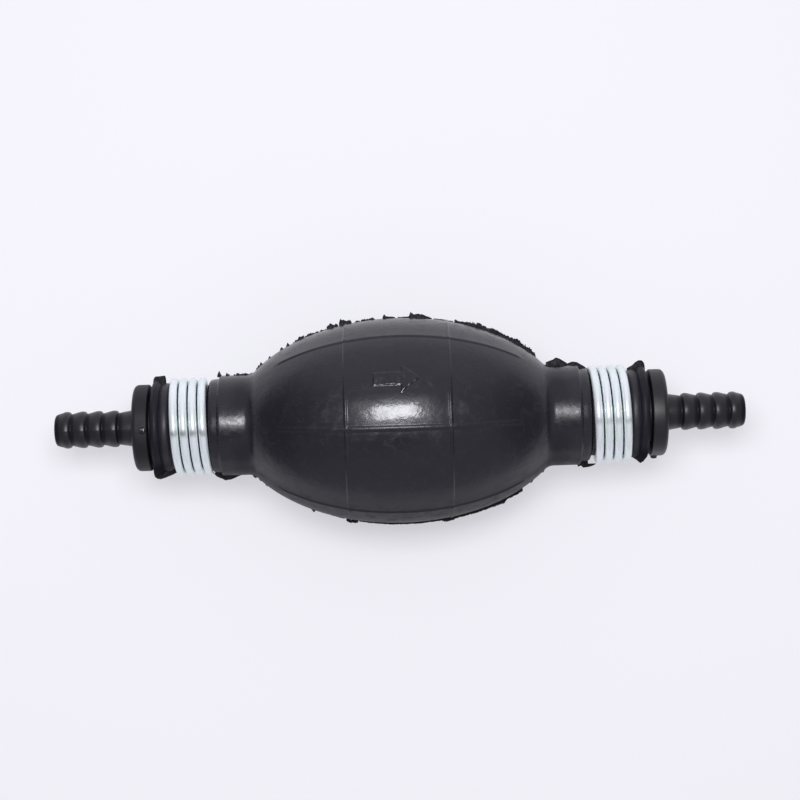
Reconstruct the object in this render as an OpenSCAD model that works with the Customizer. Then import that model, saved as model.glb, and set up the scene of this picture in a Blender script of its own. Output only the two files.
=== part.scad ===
// Siphon bulb pump for a hose line.
// The flow runs along +X. The origin is the middle of the bulb, on its axis, and the flow arrow is on
// the upper side. The moulding's parting plane is the XY plane. All sizes are in millimetres.

/* [Bulb] */
// Largest diameter of the belly
belly_d = 51.2; // [48:0.2:56]
// Length of the ellipse that the belly follows
belly_l = 84; // [80:0.5:88]
// Length of the rubber bulb from neck end to neck end
bulb_l = 122.8; // [118:0.2:130]
// Thickness of the rubber wall
wall = 3; // [2.4:0.1:3.6]
// Diameter of a neck beside the belly
neck_d = 25; // [24:0.2:27]
// Bore of a neck
neck_bore = 16; // [15.4:0.1:16.4]
// Radius of the hollow where the belly runs into a neck
neck_fillet = 3.5; // [2:0.1:5]
// Width of the bead at a neck's end
bead_w = 2.2; // [1.8:0.1:2.8]
// Diameter of the bead at a neck's end
bead_d = 23.5; // [22.6:0.1:25]
// Width of the groove that holds a clamp
groove_w = 14.5; // [13:0.1:15.5]
// Diameter of the groove beside the clamp
groove_d = 21.5; // [20.8:0.1:22]
// Depth of the small flat that the soft belly rests on
rest_flat = 0.12; // [0.08:0.01:0.3]

/* [Ribs and arrow] */
// Distance of each ring rib from the middle
ring_rib_x = 12.2; // [11:0.1:15]
// Width of the moulded ribs
rib_w = 1.6; // [1:0.1:2]
// Height of the ring ribs
ring_rib_h = 0.32; // [0.3:0.01:0.5]
// Height of the long ribs
long_rib_h = 0.24; // [0.1:0.01:0.26]
// Angle between the middle long rib and the ones beside it
rib_angle = 57; // [50:1:60]
// Distance from the middle at which a long rib fades out
rib_reach = 32.5; // [28:0.5:34]
// Length of the flow arrow
arrow_l = 11.25; // [9:0.25:14]
// Length of the arrow's head
arrow_head_l = 4.5; // [3:0.25:6]
// Height of the arrow's head
arrow_head = 7; // [5:0.25:8]
// Height of the arrow's shaft
arrow_shaft = 3.25; // [2:0.25:4]
// How far the arrow stands out of the belly
arrow_h = 0.3; // [0.2:0.05:0.5]
// Angle of the arrow from the top, round the axis
arrow_angle = 26.5; // [22:0.1:30]

/* [Moulding flash] */
// Thickness of the flash on the parting line
flash_t = 0.35; // [0.2:0.05:0.6]
// How far the torn flash stands out where it is whole
flash_h = 1.2; // [0.8:0.1:1.6]

/* [Squeeze] */
// Travel of each squeeze wall
squeeze = 9; // [6:0.5:9]
// Gap round a squeeze wall
squeeze_gap = 0.3; // [0.2:0.05:0.4]
// Corner radius of a squeeze wall
squeeze_corner = 4; // [2:0.5:6]

/* [Clamps] */
// Diameter of the clamp wire
wire_d = 1.9; // [1.6:0.05:2]
// Distance between the turns of a clamp
clamp_pitch = 2.35; // [2.3:0.01:2.45]
// Turns of a clamp
clamp_turns = 3.7; // [3.5:0.1:4]
// Diameter of a clamp, measured over its wire
clamp_d = 24.5; // [24:0.1:25]
// How far a clamp sits from the middle of its groove towards the bead
clamp_shift = 0.3; // [0:0.1:0.5]
// Where the inlet clamp's wire begins, round the axis
inlet_clamp_start = -93; // [-180:1:180]
// Where the outlet clamp's wire begins, round the axis
outlet_clamp_start = -35; // [-180:1:180]

/* [Hose barbs] */
// Gap between a neck's end and the flange of its barb
flange_gap = 0.7; // [0.4:0.1:1.2]
// Thickness of the flange
flange_w = 3.9; // [3.2:0.1:4.5]
// Diameter of the flange
flange_d = 21.6; // [20:0.1:22.4]
// Radius of the flange's outer edge
flange_round = 1.2; // [1:0.1:2.5]
// Length of a barb outside its flange
barb_l = 20; // [17:0.5:24]
// Plain length of a barb next to the flange
barb_plain = 4.2; // [3:0.1:5]
// Number of teeth on a barb
barb_teeth = 4; // [3:1:4]
// Diameter over the teeth
barb_crest_d = 9.2; // [8.8:0.1:9.6]
// Diameter between the teeth
barb_root_d = 8.3; // [7.8:0.1:8.6]
// Diameter of the stem at the flange
barb_stem_d = 9; // [8.6:0.1:9.6]
// Length of the cylinder at the crest of each tooth
tooth_land = 0.4; // [0.2:0.1:0.6]
// Radius of the barb's tip
tip_round = 1.1; // [0.6:0.1:1.4]
// Bore of a barb
barb_bore = 5; // [4:0.1:5.4]
// Length of the spigot inside a neck
spigot_l = 20; // [18.5:0.5:21]
// How far the grip bead stands out of the spigot
grip_h = 0.6; // [0.3:0.05:0.8]
// Width of the grip bead
grip_w = 1.4; // [1:0.1:1.8]
// Radius of the moulding gate's stub on the flange
gate_r = 0.9; // [0.5:0.1:1.2]
// How far the gate's stub stands out
gate_h = 0.7; // [0.3:0.1:1]

/* [Check valves] */
// Diameter of the pocket that holds a valve
pocket_d = 12; // [11:0.1:12.4]
// Length of a valve from its seat ring to the end of its cage
valve_l = 15; // [14.5:0.1:15.2]
// Thickness of the seat ring
seat_t = 3.2; // [2.6:0.1:3.6]
// Bore of the seat ring
seat_bore = 5.2; // [4.4:0.1:5.6]
// Height of the lip that the seal closes on
lip_h = 0.5; // [0.3:0.1:0.8]
// Width of the lip
lip_w = 0.6; // [0.4:0.1:0.8]
// Wall of the cage
cage_wall = 0.75; // [0.6:0.05:0.9]
// Thickness of the arms at the end of the cage
arm_t = 1.6; // [1.2:0.1:2]
// Width of the arms
arm_w = 1.4; // [1:0.1:1.8]
// Diameter of the hub that guides the stem
hub_d = 3.8; // [3.4:0.1:3.9]
// Length of the hub
hub_l = 3; // [2.4:0.1:3.6]
// Thickness of the rubber poppet seal
seal_t = 0.9; // [0.6:0.1:1.2]
// Diameter of the poppet's head
head_d = 8.6; // [8:0.1:9]
// Thickness of the poppet's head
head_t = 1.2; // [0.8:0.1:1.6]
// Diameter of the poppet's stem
stem_d = 2; // [1.6:0.1:2.4]
// Lift of a poppet
lift = 2.2; // [1.5:0.1:2.6]
// Diameter of the valve spring's wire
spring_wire_d = 0.4; // [0.3:0.05:0.5]
// Turns of a valve spring
spring_turns = 5.5; // [4:0.5:6]
// Diameter of the groove under the O-ring
o_ring_groove_d = 9.8; // [9.2:0.1:10]

/* [Fits] */
// Clearance between the spigot and the neck, and between a valve and its pocket
press_gap = 0.05; // [0.02:0.01:0.1]
// Clearance of a poppet's stem in its hub
guide_gap = 0.1; // [0.05:0.01:0.15]
// Clearance between pieces that touch
touch_gap = 0.02; // [0.01:0.01:0.04]

/* [Hidden] */
$fn = 96;

// Colours
rubber = [0.15, 0.15, 0.17];
seal_rubber = [0.28, 0.22, 0.2];
nylon = [0.1, 0.1, 0.11];
valve_nylon = [0.86, 0.85, 0.8];
zinc = [0.84, 0.86, 0.88];
steel = [0.6, 0.6, 0.62];

// How far a cutter runs past the face that it opens
cut_beyond = 10;

// Belly and necks
belly_r = belly_d / 2;
half_belly = belly_l / 2;
neck_r = neck_d / 2;
bore_r = neck_bore / 2;
neck_end = bulb_l / 2;
bead_x = neck_end - bead_w;
groove_x = bead_x - groove_w;
groove_r = groove_d / 2;
bead_r = bead_d / 2;
bead_round = bead_w / 2 - 0.1;
bead_lip = bead_r - 1.4;
shoulder = 0.4;
belly_steps = 24;
bead_steps = 4;
fillet_steps = 4;

// Radius of an ellipse with half axes a and b at a distance x from its middle
function ellipse_r(a, b, x) = b * sqrt(max(0, 1 - pow(x / a, 2)));

// Centre [x, r] of a circle of radius f that touches the belly from outside at the ellipse's angle t
function fillet_centre(t, f) =
    let (n = [cos(t) / half_belly, sin(t) / belly_r])
    [half_belly * cos(t), belly_r * sin(t)] + f * n / norm(n);

// The ellipse's angle at which that circle also touches the neck
function fillet_angle(low, high, steps) =
    let (middle = (low + high) / 2)
    steps == 0 ? middle :
    fillet_centre(middle, neck_fillet)[1] > neck_r + neck_fillet
        ? fillet_angle(low, middle, steps - 1)
        : fillet_angle(middle, high, steps - 1);

fillet_t = fillet_angle(0, 90, 30);
fillet_at = fillet_centre(fillet_t, neck_fillet);
fillet_x = half_belly * cos(fillet_t);
fillet_turn = acos((fillet_at[0] - fillet_x) / neck_fillet);

// Radius of the bulb's outside at a distance x from its middle, without its ribs
function outside_r(x) =
    let (a = abs(x))
    a < fillet_x ? ellipse_r(half_belly, belly_r, a) :
    a < fillet_at[0] ? fillet_at[1] - sqrt(pow(neck_fillet, 2) - pow(fillet_at[0] - a, 2)) :
    a < groove_x ? neck_r :
    a < bead_x ? groove_r : bead_r;

// Clamps
wire_r = wire_d / 2;
clamp_r = clamp_d / 2 - wire_r;
clamp_x = groove_x + groove_w / 2 + clamp_shift;
clamp_half = (clamp_turns * clamp_pitch + wire_d) / 2;
coil_rings = 24;
curl_rings = 8;
wire_sides = 6;
// The rubber under a clamp is drawn in to just inside the wire's flat-sided turns
seat_r = (clamp_r - wire_r) * cos(180 / coil_rings) - press_gap;
seat_slope = 0.5;

// Ribs, arrow and squeeze walls
rib_root = 0.6;
rib_fade_power = 8;
rib_sink = 0.1;
rib_margin = 0.3;
rib_steps = 16;
window_x = ring_rib_x - rib_w / 2 - rib_margin;
window_z = ellipse_r(half_belly, belly_r, window_x) * cos(rib_angle) - rib_w - rib_margin;
window_y = neck_r;
arrow_x = -0.5;
arrow_root = 2;
arrow_steps = 6;

// Barbs: distances from the middle, along the axis
flange_x = neck_end + flange_gap;
stem_x = flange_x + flange_w;
tip_x = stem_x + barb_l;
tooth_x = stem_x + barb_plain;
tooth_pitch = (barb_l - barb_plain) / barb_teeth;
spigot_x = flange_x - spigot_l;
spigot_r = bore_r - press_gap;
grip_x = spigot_x + 1.8;
pocket_r = pocket_d / 2;
pocket_end = spigot_x + valve_l + 1;
spigot_edge = 0.4;
flange_edge = 0.3;
stem_edge = 0.5;
tooth_front = 0.3;
tooth_back = 0.15;
gate_inset = 0.2;
funnel_r = pocket_r - cage_wall - press_gap;
barb_bore_r = barb_bore / 2;
edge_steps = 6;

// Check valves: distances from the upstream face of the seat ring, along the flow
valve_r = pocket_r - press_gap;
seat_bore_r = seat_bore / 2;
lip_r = seat_bore_r + 0.3;
lip_x = seat_t + lip_h;
seal_x = lip_x + touch_gap;
seal_r = lip_r + lip_w + 0.5;
head_x = seal_x + seal_t + touch_gap;
head_r = head_d / 2;
head_end = head_x + head_t;
nose_r = 0.85;
button_r = 1.5;
button_t = 0.6;
hub_r = hub_d / 2;
hub_x = valve_l - hub_l;
arm_x = valve_l - arm_t;
stem_r = stem_d / 2;
stop_x = hub_x - lift - guide_gap;
stop_r = stem_r + 0.5;
stem_end = valve_l - 1;
spring_r = hub_r + 0.35 + spring_wire_d / 2;
spring_start = head_end + touch_gap + spring_wire_d / 2;
spring_end = arm_x - touch_gap - spring_wire_d / 2;
o_ring_x = seat_t / 2;
o_ring_space = pocket_r - o_ring_groove_d / 2;
o_ring_r = o_ring_space / 2 - touch_gap;
o_ring_side = o_ring_r + 0.3;
inlet_valve_x = -pocket_end + press_gap;
outlet_valve_x = pocket_end - press_gap - valve_l;

// Torn flash: where each strip begins and ends along the axis, as shares of half the bulb's length,
// and its share of the full height
flash_step = 0.9;
flash_back = [
    [-0.998, -0.966, 0.9], [-0.756, -0.73, 1], [-0.713, -0.694, 0.8], [-0.678, -0.612, 0.5],
    [-0.554, -0.414, 0.35], [-0.407, -0.378, 0.9], [-0.241, -0.225, 0.8], [-0.13, -0.088, 0.8],
    [-0.062, -0.042, 0.6], [0.033, 0.101, 0.6], [0.225, 0.547, 1], [0.622, 0.681, 0.7],
    [0.7, 0.726, 0.9], [0.966, 0.997, 1]
];
flash_front = [
    [-0.998, -0.966, 0.9], [-0.726, -0.671, 1], [-0.586, -0.55, 0.6], [-0.368, -0.349, 0.7],
    [-0.215, -0.184, 0.9], [0.124, 0.57, 1], [0.691, 0.726, 1], [0.966, 0.997, 0.9]
];

// A solid turned about the X axis from outline points [r, x]
module turned(points) {
    rotate([0, 90, 0]) rotate_extrude() polygon(points);
}

// A cylinder from x to x + length
module rod(r, x, length) {
    translate([x, 0, 0]) rotate([0, 90, 0]) cylinder(r = r, h = length);
}

// A tube from x to x + length
module tube(outer_r, inner_r, x, length) {
    difference() {
        rod(outer_r, x, length);
        rod(inner_r, x - cut_beyond, length + 2 * cut_beyond);
    }
}

// Points [r, x] of the bulb's outside from its middle to the end of the outlet neck, before its groove
function outside_half() = concat(
    [for (i = [0 : belly_steps])
        let (t = 90 - (90 - fillet_t) * i / belly_steps)
        [belly_r * sin(t), half_belly * cos(t)]],
    [for (i = [1 : fillet_steps])
        let (t = fillet_turn + (90 - fillet_turn) * i / fillet_steps)
        [fillet_at[1] - neck_fillet * sin(t), fillet_at[0] - neck_fillet * cos(t)]],
    [[neck_r, neck_end]]
);

// Points [r, x] of the bulb's inside from its middle to the end of the outlet neck
function inside_half() = concat(
    [for (i = [0 : belly_steps])
        let (a = half_belly - wall, b = belly_r - wall, last = acos(sqrt(1 - pow(bore_r / b, 2))))
        let (t = 90 - (90 - last) * i / belly_steps)
        [b * sin(t), a * cos(t)]],
    [[bore_r, neck_end]]
);

// The same points for the inlet side, and both sides joined into one line from end to end
function mirrored(points) = [for (i = [len(points) - 1 : -1 : 1]) [points[i][0], -points[i][1]]];
function end_to_end(points) = concat(mirrored(points), points);
function reversed(points) = [for (i = [len(points) - 1 : -1 : 0]) points[i]];

// The space round the outlet neck: its groove, the clamp's seat in it, and the round of the bead
module neck_cut() {
    turned(concat(
        [
            [neck_r + cut_beyond, groove_x - shoulder - cut_beyond],
            [neck_r - shoulder, groove_x],
            [groove_r, groove_x],
            [groove_r, clamp_x - clamp_half - seat_slope],
            [seat_r, clamp_x - clamp_half],
            [seat_r, clamp_x + clamp_half],
            [groove_r, min(bead_x - bead_w / 20, clamp_x + clamp_half + seat_slope)],
            [groove_r, bead_x]
        ],
        [for (i = [0 : bead_steps])
            let (t = 180 * i / bead_steps)
            [bead_r - bead_round * (1 - sin(t)), bead_x + bead_w / 2 - bead_round * cos(t)]],
        [
            [bead_lip, neck_end],
            [bead_lip, neck_end + cut_beyond],
            [neck_r + cut_beyond, neck_end + cut_beyond]
        ]
    ));
}

// The groove inside the outlet neck that the barb's grip bead snaps into
module grip_cut() {
    turned([
        [bore_r - grip_h, grip_x - 2 * grip_h],
        [bore_r + grip_h, grip_x],
        [bore_r + grip_h, grip_x + grip_w],
        [bore_r - grip_h, grip_x + grip_w + 2 * grip_h]
    ]);
}

module bulb_wall() {
    difference() {
        turned(concat(end_to_end(outside_half()), reversed(end_to_end(inside_half()))));
        for (end = [0, 1]) mirror([end, 0, 0]) {
            neck_cut();
            grip_cut();
        }
    }
}

module ring_rib(x) {
    low = x - rib_w / 2;
    high = x + rib_w / 2;
    turned([
        [outside_r(low) - rib_root, low],
        [outside_r(low), low],
        [outside_r(low + ring_rib_h) + ring_rib_h, low + ring_rib_h],
        [outside_r(high - ring_rib_h) + ring_rib_h, high - ring_rib_h],
        [outside_r(high), high],
        [outside_r(high) - rib_root, high]
    ]);
}

// A rib along the belly, which fades out at both ends
module long_rib(angle) {
    crest = [for (i = [-rib_steps : rib_steps])
        let (x = rib_reach * i / rib_steps, ends = pow(i / rib_steps, rib_fade_power))
        [x, outside_r(x) + long_rib_h - (long_rib_h + rib_sink) * ends]];
    root = [for (i = [rib_steps : -1 : -rib_steps])
        let (x = rib_reach * i / rib_steps)
        [x, outside_r(x) - rib_root]];
    rotate([angle, 0, 0]) rotate([90, 0, 0])
        linear_extrude(rib_w, center = true) polygon(concat(crest, root));
}

module arrow_outline() {
    shaft_end = arrow_l / 2 - arrow_head_l;
    polygon([
        [-arrow_l / 2, -arrow_shaft / 2],
        [shaft_end, -arrow_shaft / 2],
        [shaft_end, -arrow_head / 2],
        [arrow_l / 2, 0],
        [shaft_end, arrow_head / 2],
        [shaft_end, arrow_shaft / 2],
        [-arrow_l / 2, arrow_shaft / 2]
    ]);
}

module flow_arrow() {
    reach = arrow_l / 2 - arrow_x;
    at = [for (i = [-arrow_steps : arrow_steps]) reach * i / arrow_steps];
    intersection() {
        rotate([-arrow_angle, 0, 0]) translate([arrow_x, 0, belly_r - arrow_root])
            linear_extrude(2 * arrow_root) arrow_outline();
        turned(concat(
            [for (x = at) [outside_r(x) + arrow_h, x]],
            [[belly_r - arrow_root, reach], [belly_r - arrow_root, -reach]]
        ));
    }
}

// One torn strip of flash, as an outline in the parting plane
module flash_strip(strip, seed) {
    from = strip[0] * neck_end;
    to = strip[1] * neck_end;
    count = max(2, round((to - from) / flash_step));
    torn = rands(0.25, 1, count + 1, seed);
    at = [for (i = [0 : count]) from + (to - from) * i / count];
    polygon(concat(
        [for (i = [0 : count]) [at[i], outside_r(at[i]) + flash_h * strip[2] * torn[i]]],
        [for (i = [count : -1 : 0]) [at[i], outside_r(at[i]) - rib_root]]
    ));
}

module flash() {
    linear_extrude(flash_t, center = true) {
        for (i = [0 : len(flash_back) - 1]) flash_strip(flash_back[i], i + 1);
        for (i = [0 : len(flash_front) - 1]) mirror([0, 1]) flash_strip(flash_front[i], i + 41);
    }
}

module bulb_moulding() {
    bulb_wall();
    for (side = [-1, 1]) ring_rib(side * ring_rib_x);
    for (half = [0, 180], step = [-1 : 1]) long_rib(half + step * rib_angle);
    flow_arrow();
    flash();
}

module rounded_plate(half_x, half_z, corner) {
    square([2 * half_x, 2 * (half_z - corner)], center = true);
    square([2 * (half_x - corner), 2 * half_z], center = true);
    for (x = [-1, 1], z = [-1, 1]) translate([x * (half_x - corner), z * (half_z - corner)]) circle(corner);
}

// A block through one side of the belly: side is 1 for the back and -1 for the front
module window(side, gap) {
    translate([0, side * (window_y + belly_r) / 2, 0]) rotate([90, 0, 0])
        linear_extrude(belly_r + cut_beyond - window_y, center = true)
            rounded_plate(window_x - gap, window_z - gap, squeeze_corner - gap);
}

module bulb() {
    color(rubber) difference() {
        bulb_moulding();
        for (side = [-1, 1]) window(side, 0);
        translate([-half_belly, -belly_r, -belly_r - cut_beyond + rest_flat])
            cube([belly_l, belly_d, cut_beyond]);
    }
}

module squeeze_wall(side) {
    color(rubber) intersection() {
        bulb_moulding();
        window(side, squeeze_gap);
    }
}

// The hose barb of the outlet. The inlet's is the same moulding, turned end for end.
module hose_barb() {
    flange_r = flange_d / 2;
    tip_r = barb_root_d / 2;
    color(nylon) difference() {
        union() {
            turned(concat(
                [
                    [0, spigot_x],
                    [spigot_r - spigot_edge, spigot_x],
                    [spigot_r, spigot_x + spigot_edge],
                    [spigot_r, grip_x - grip_h + press_gap],
                    [spigot_r + grip_h, grip_x + press_gap],
                    [spigot_r + grip_h, grip_x + grip_w - press_gap],
                    [spigot_r, grip_x + grip_w + grip_h - press_gap],
                    [spigot_r, flange_x],
                    [flange_r - flange_edge, flange_x],
                    [flange_r, flange_x + flange_edge]
                ],
                [for (i = [0 : edge_steps])
                    let (t = 90 * i / edge_steps)
                    [flange_r - flange_round * (1 - cos(t)), stem_x - flange_round * (1 - sin(t))]],
                [
                    [barb_stem_d / 2 + stem_edge, stem_x],
                    [barb_stem_d / 2, stem_x + stem_edge],
                    [tip_r, tooth_x - tooth_front]
                ],
                [for (i = [0 : barb_teeth - 2], step = [0 : 2])
                    let (x = tooth_x + i * tooth_pitch)
                    [
                        [barb_crest_d / 2, x],
                        [barb_crest_d / 2, x + tooth_land],
                        [tip_r, x + tooth_pitch - tooth_back]
                    ][step]],
                [
                    [barb_crest_d / 2, tip_x - tooth_pitch],
                    [barb_crest_d / 2, tip_x - tooth_pitch + tooth_land]
                ],
                [for (i = [0 : edge_steps])
                    let (t = 90 * i / edge_steps)
                    [tip_r - tip_round * (1 - cos(t)), tip_x - tip_round * (1 - sin(t))]],
                [[0, tip_x]]
            ));
            translate([flange_x + gate_r + gate_inset, -flange_r - gate_h, 0])
                rotate([-90, 0, 0]) cylinder(r = gate_r, h = gate_h + flange_round);
        }
        turned([
            [0, spigot_x - cut_beyond],
            [pocket_r, spigot_x - cut_beyond],
            [pocket_r, pocket_end],
            [funnel_r, pocket_end],
            [barb_bore_r, pocket_end + funnel_r - barb_bore_r],
            [barb_bore_r, tip_x + cut_beyond],
            [0, tip_x + cut_beyond]
        ]);
    }
}

// A frame on a helix about the X axis, at an angle round it: [centre, outward, sideways, along]
function coil_frame(r, pitch, angle) =
    let (
        outward = [0, cos(angle), sin(angle)],
        run = [pitch / 360, -r * sin(angle) * PI / 180, r * cos(angle) * PI / 180],
        along = run / norm(run)
    )
    [[pitch * angle / 360, 0, 0] + r * outward, outward, cross(along, outward), along];

// The rings of a wire wound into a helix, whose ends run straight for one wire diameter
function coil_ring(frame, wire_r, ahead) = [
    for (i = [0 : wire_sides - 1])
        let (t = 360 * i / wire_sides)
        frame[0] + ahead * frame[3] + wire_r * (cos(t) * frame[1] + sin(t) * frame[2])
];

function coil_rings_of(r, wire_r, pitch, turns, rings) =
    let (
        count = round(turns * rings),
        frames = [for (i = [0 : count]) coil_frame(r, pitch, 360 * turns * i / count)]
    )
    concat(
        [coil_ring(frames[0], wire_r, -2 * wire_r)],
        [for (frame = frames) coil_ring(frame, wire_r, 0)],
        [coil_ring(frames[count], wire_r, 2 * wire_r)]
    );

// The least distance between rings that are at least half a turn apart
function least_gap(rings, per_turn) = min([
    for (i = [0 : len(rings) - 1], j = [i + per_turn - 2 : 1 : min(i + per_turn + 2, len(rings) - 1)])
        min([for (p = rings[i], q = rings[j]) norm(p - q)])
]);

module coil(name, r, wire_r, pitch, turns, rings) {
    all_rings = coil_rings_of(r, wire_r, pitch, turns, rings);
    last = len(all_rings) - 1;
    echo(str("least gap of ", name, " to itself: ", least_gap(all_rings, rings), " mm"));
    polyhedron(
        points = [for (ring = all_rings, p = ring) p],
        faces = concat(
            [for (k = [1 : wire_sides - 2]) [0, k, k + 1]],
            [for (i = [0 : last - 1], k = [0 : wire_sides - 1], half = [0, 1])
                let (
                    a = i * wire_sides + k,
                    b = i * wire_sides + (k + 1) % wire_sides,
                    c = a + wire_sides,
                    d = b + wire_sides
                )
                half == 0 ? [a, c, b] : [b, c, d]],
            [for (k = [1 : wire_sides - 2])
                [last * wire_sides, last * wire_sides + k + 1, last * wire_sides + k]]
        )
    );
}

module clamp(x, start) {
    color(zinc) translate([x - clamp_turns * clamp_pitch / 2, 0, 0]) rotate([start, 0, 0])
        coil("clamp", clamp_r, wire_r, clamp_pitch, clamp_turns, coil_rings);
}

module valve_seat() {
    color(valve_nylon) turned([
        [seat_bore_r, 0],
        [valve_r, 0],
        [valve_r, o_ring_x - o_ring_side],
        [o_ring_groove_d / 2, o_ring_x - o_ring_side],
        [o_ring_groove_d / 2, o_ring_x + o_ring_side],
        [valve_r, o_ring_x + o_ring_side],
        [valve_r, seat_t],
        [lip_r + lip_w, seat_t],
        [lip_r + lip_w, lip_x],
        [lip_r, lip_x],
        [lip_r, seat_t],
        [seat_bore_r, seat_t]
    ]);
}

module valve_cage() {
    color(valve_nylon) difference() {
        union() {
            tube(valve_r, valve_r - cage_wall, seat_t, valve_l - seat_t);
            rod(hub_r, hub_x, hub_l);
            for (angle = [0, 120, 240]) rotate([angle, 0, 0])
                translate([arm_x, -arm_w / 2, 0]) cube([arm_t, arm_w, valve_r - cage_wall / 2]);
        }
        rod(stem_r + guide_gap, hub_x - cut_beyond, hub_l + 2 * cut_beyond);
    }
}

module poppet() {
    color(valve_nylon) union() {
        rod(button_r, seal_x - button_t, button_t - touch_gap);
        rod(nose_r, seal_x - button_t, head_x - seal_x + button_t + head_t);
        rod(head_r, head_x, head_t);
        rod(stop_r, head_x, stop_x - head_x);
        rod(stem_r, head_x, stem_end - head_x);
    }
}

module poppet_seal() {
    color(seal_rubber) tube(seal_r, nose_r + touch_gap, seal_x, seal_t);
}

module valve_spring() {
    pitch = (spring_end - spring_start) / spring_turns;
    color(steel) translate([spring_start, 0, 0])
        coil("valve spring", spring_r, spring_wire_d / 2, pitch, spring_turns, curl_rings);
}

module o_ring() {
    color(seal_rubber) translate([o_ring_x, 0, 0]) rotate([0, 90, 0])
        rotate_extrude() translate([pocket_r - o_ring_space / 2, 0]) circle(o_ring_r, $fn = 24);
}

module inlet_barb() {
    rotate([0, 0, 180]) rotate([-90, 0, 0]) hose_barb();
}

module outlet_barb() {
    hose_barb();
}

module in_inlet() {
    translate([inlet_valve_x, 0, 0]) children();
}

module in_outlet() {
    translate([outlet_valve_x, 0, 0]) children();
}

bulb();
squeeze_wall(-1);  // squeeze_wall_front
squeeze_wall(1);  // squeeze_wall_back
inlet_barb();
clamp(-clamp_x, inlet_clamp_start);  // inlet_clamp
in_inlet() valve_seat();  // inlet_valve_seat
in_inlet() valve_cage();  // inlet_valve_cage
in_inlet() poppet();  // inlet_poppet
in_inlet() poppet_seal();  // inlet_poppet_seal
in_inlet() valve_spring();  // inlet_valve_spring
in_inlet() o_ring();  // inlet_o_ring
outlet_barb();
clamp(clamp_x, outlet_clamp_start);  // outlet_clamp
in_outlet() valve_seat();  // outlet_valve_seat
in_outlet() valve_cage();  // outlet_valve_cage
in_outlet() poppet();  // outlet_poppet
in_outlet() poppet_seal();  // outlet_poppet_seal
in_outlet() valve_spring();  // outlet_valve_spring
in_outlet() o_ring();  // outlet_o_ring
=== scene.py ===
"""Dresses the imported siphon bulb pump: bulb, torn flash, clamps, hose barbs, valves and stage."""

import math
from functools import partial

import bmesh
import bpy
import numpy as np
from bpy.props import FloatProperty, FloatVectorProperty, IntProperty, PointerProperty
from bpy.types import Operator, Panel, PropertyGroup
from mathutils import Matrix, Vector


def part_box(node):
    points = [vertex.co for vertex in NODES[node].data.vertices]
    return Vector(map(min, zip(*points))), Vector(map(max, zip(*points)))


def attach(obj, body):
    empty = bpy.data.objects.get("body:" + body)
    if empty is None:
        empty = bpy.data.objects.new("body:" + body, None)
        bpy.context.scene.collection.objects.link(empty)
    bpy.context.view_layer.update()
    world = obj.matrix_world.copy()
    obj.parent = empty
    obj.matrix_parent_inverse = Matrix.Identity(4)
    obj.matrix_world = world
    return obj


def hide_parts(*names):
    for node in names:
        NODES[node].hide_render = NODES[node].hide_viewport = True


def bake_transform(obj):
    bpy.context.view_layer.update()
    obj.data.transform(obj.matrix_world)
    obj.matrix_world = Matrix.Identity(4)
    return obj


bl_info = {
    "name": "Siphon bulb pump",
    "version": (1, 0, 0),
    "blender": (4, 5, 0),
    "location": "View3D > Sidebar > Pump",
    "description": "Builds the visible pieces of a hand-squeezed siphon bulb pump round its frame",
    "category": "Object",
}

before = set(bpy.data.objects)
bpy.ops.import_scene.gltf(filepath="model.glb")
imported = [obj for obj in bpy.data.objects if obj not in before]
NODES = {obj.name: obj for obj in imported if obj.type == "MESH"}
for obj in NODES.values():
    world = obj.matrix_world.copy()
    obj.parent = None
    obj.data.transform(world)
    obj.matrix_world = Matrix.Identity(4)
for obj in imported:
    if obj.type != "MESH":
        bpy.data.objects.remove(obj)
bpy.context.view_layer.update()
MM = 0.001
BULB_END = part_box("bulb")[1].x
# Between the bulb's end and a barb's flange
FLANGE_GAP = 0.0007
BARB_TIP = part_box("outlet_barb")[1].x
SPIGOT_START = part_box("outlet_barb")[0].x
REST_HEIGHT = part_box("bulb")[0].z


def setting(name, default, description, kind=FloatProperty, **more):
    """A number or a colour that the sidebar shows."""
    return kind(name=name, description=description, default=default, **more)


length = partial(setting, min=0.0, precision=5, unit="LENGTH")
share = partial(setting, min=0.0, max=1.0, subtype="FACTOR")
power = partial(setting, min=0.0, unit="POWER")
factor = partial(setting, min=0.0)
colour = partial(setting, kind=FloatVectorProperty, min=0.0, max=1.0, size=3, subtype="COLOR")
count = partial(setting, kind=IntProperty, min=0)


def angle(name, degrees, description):
    return setting(name, math.radians(degrees), description, subtype="ANGLE")


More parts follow.
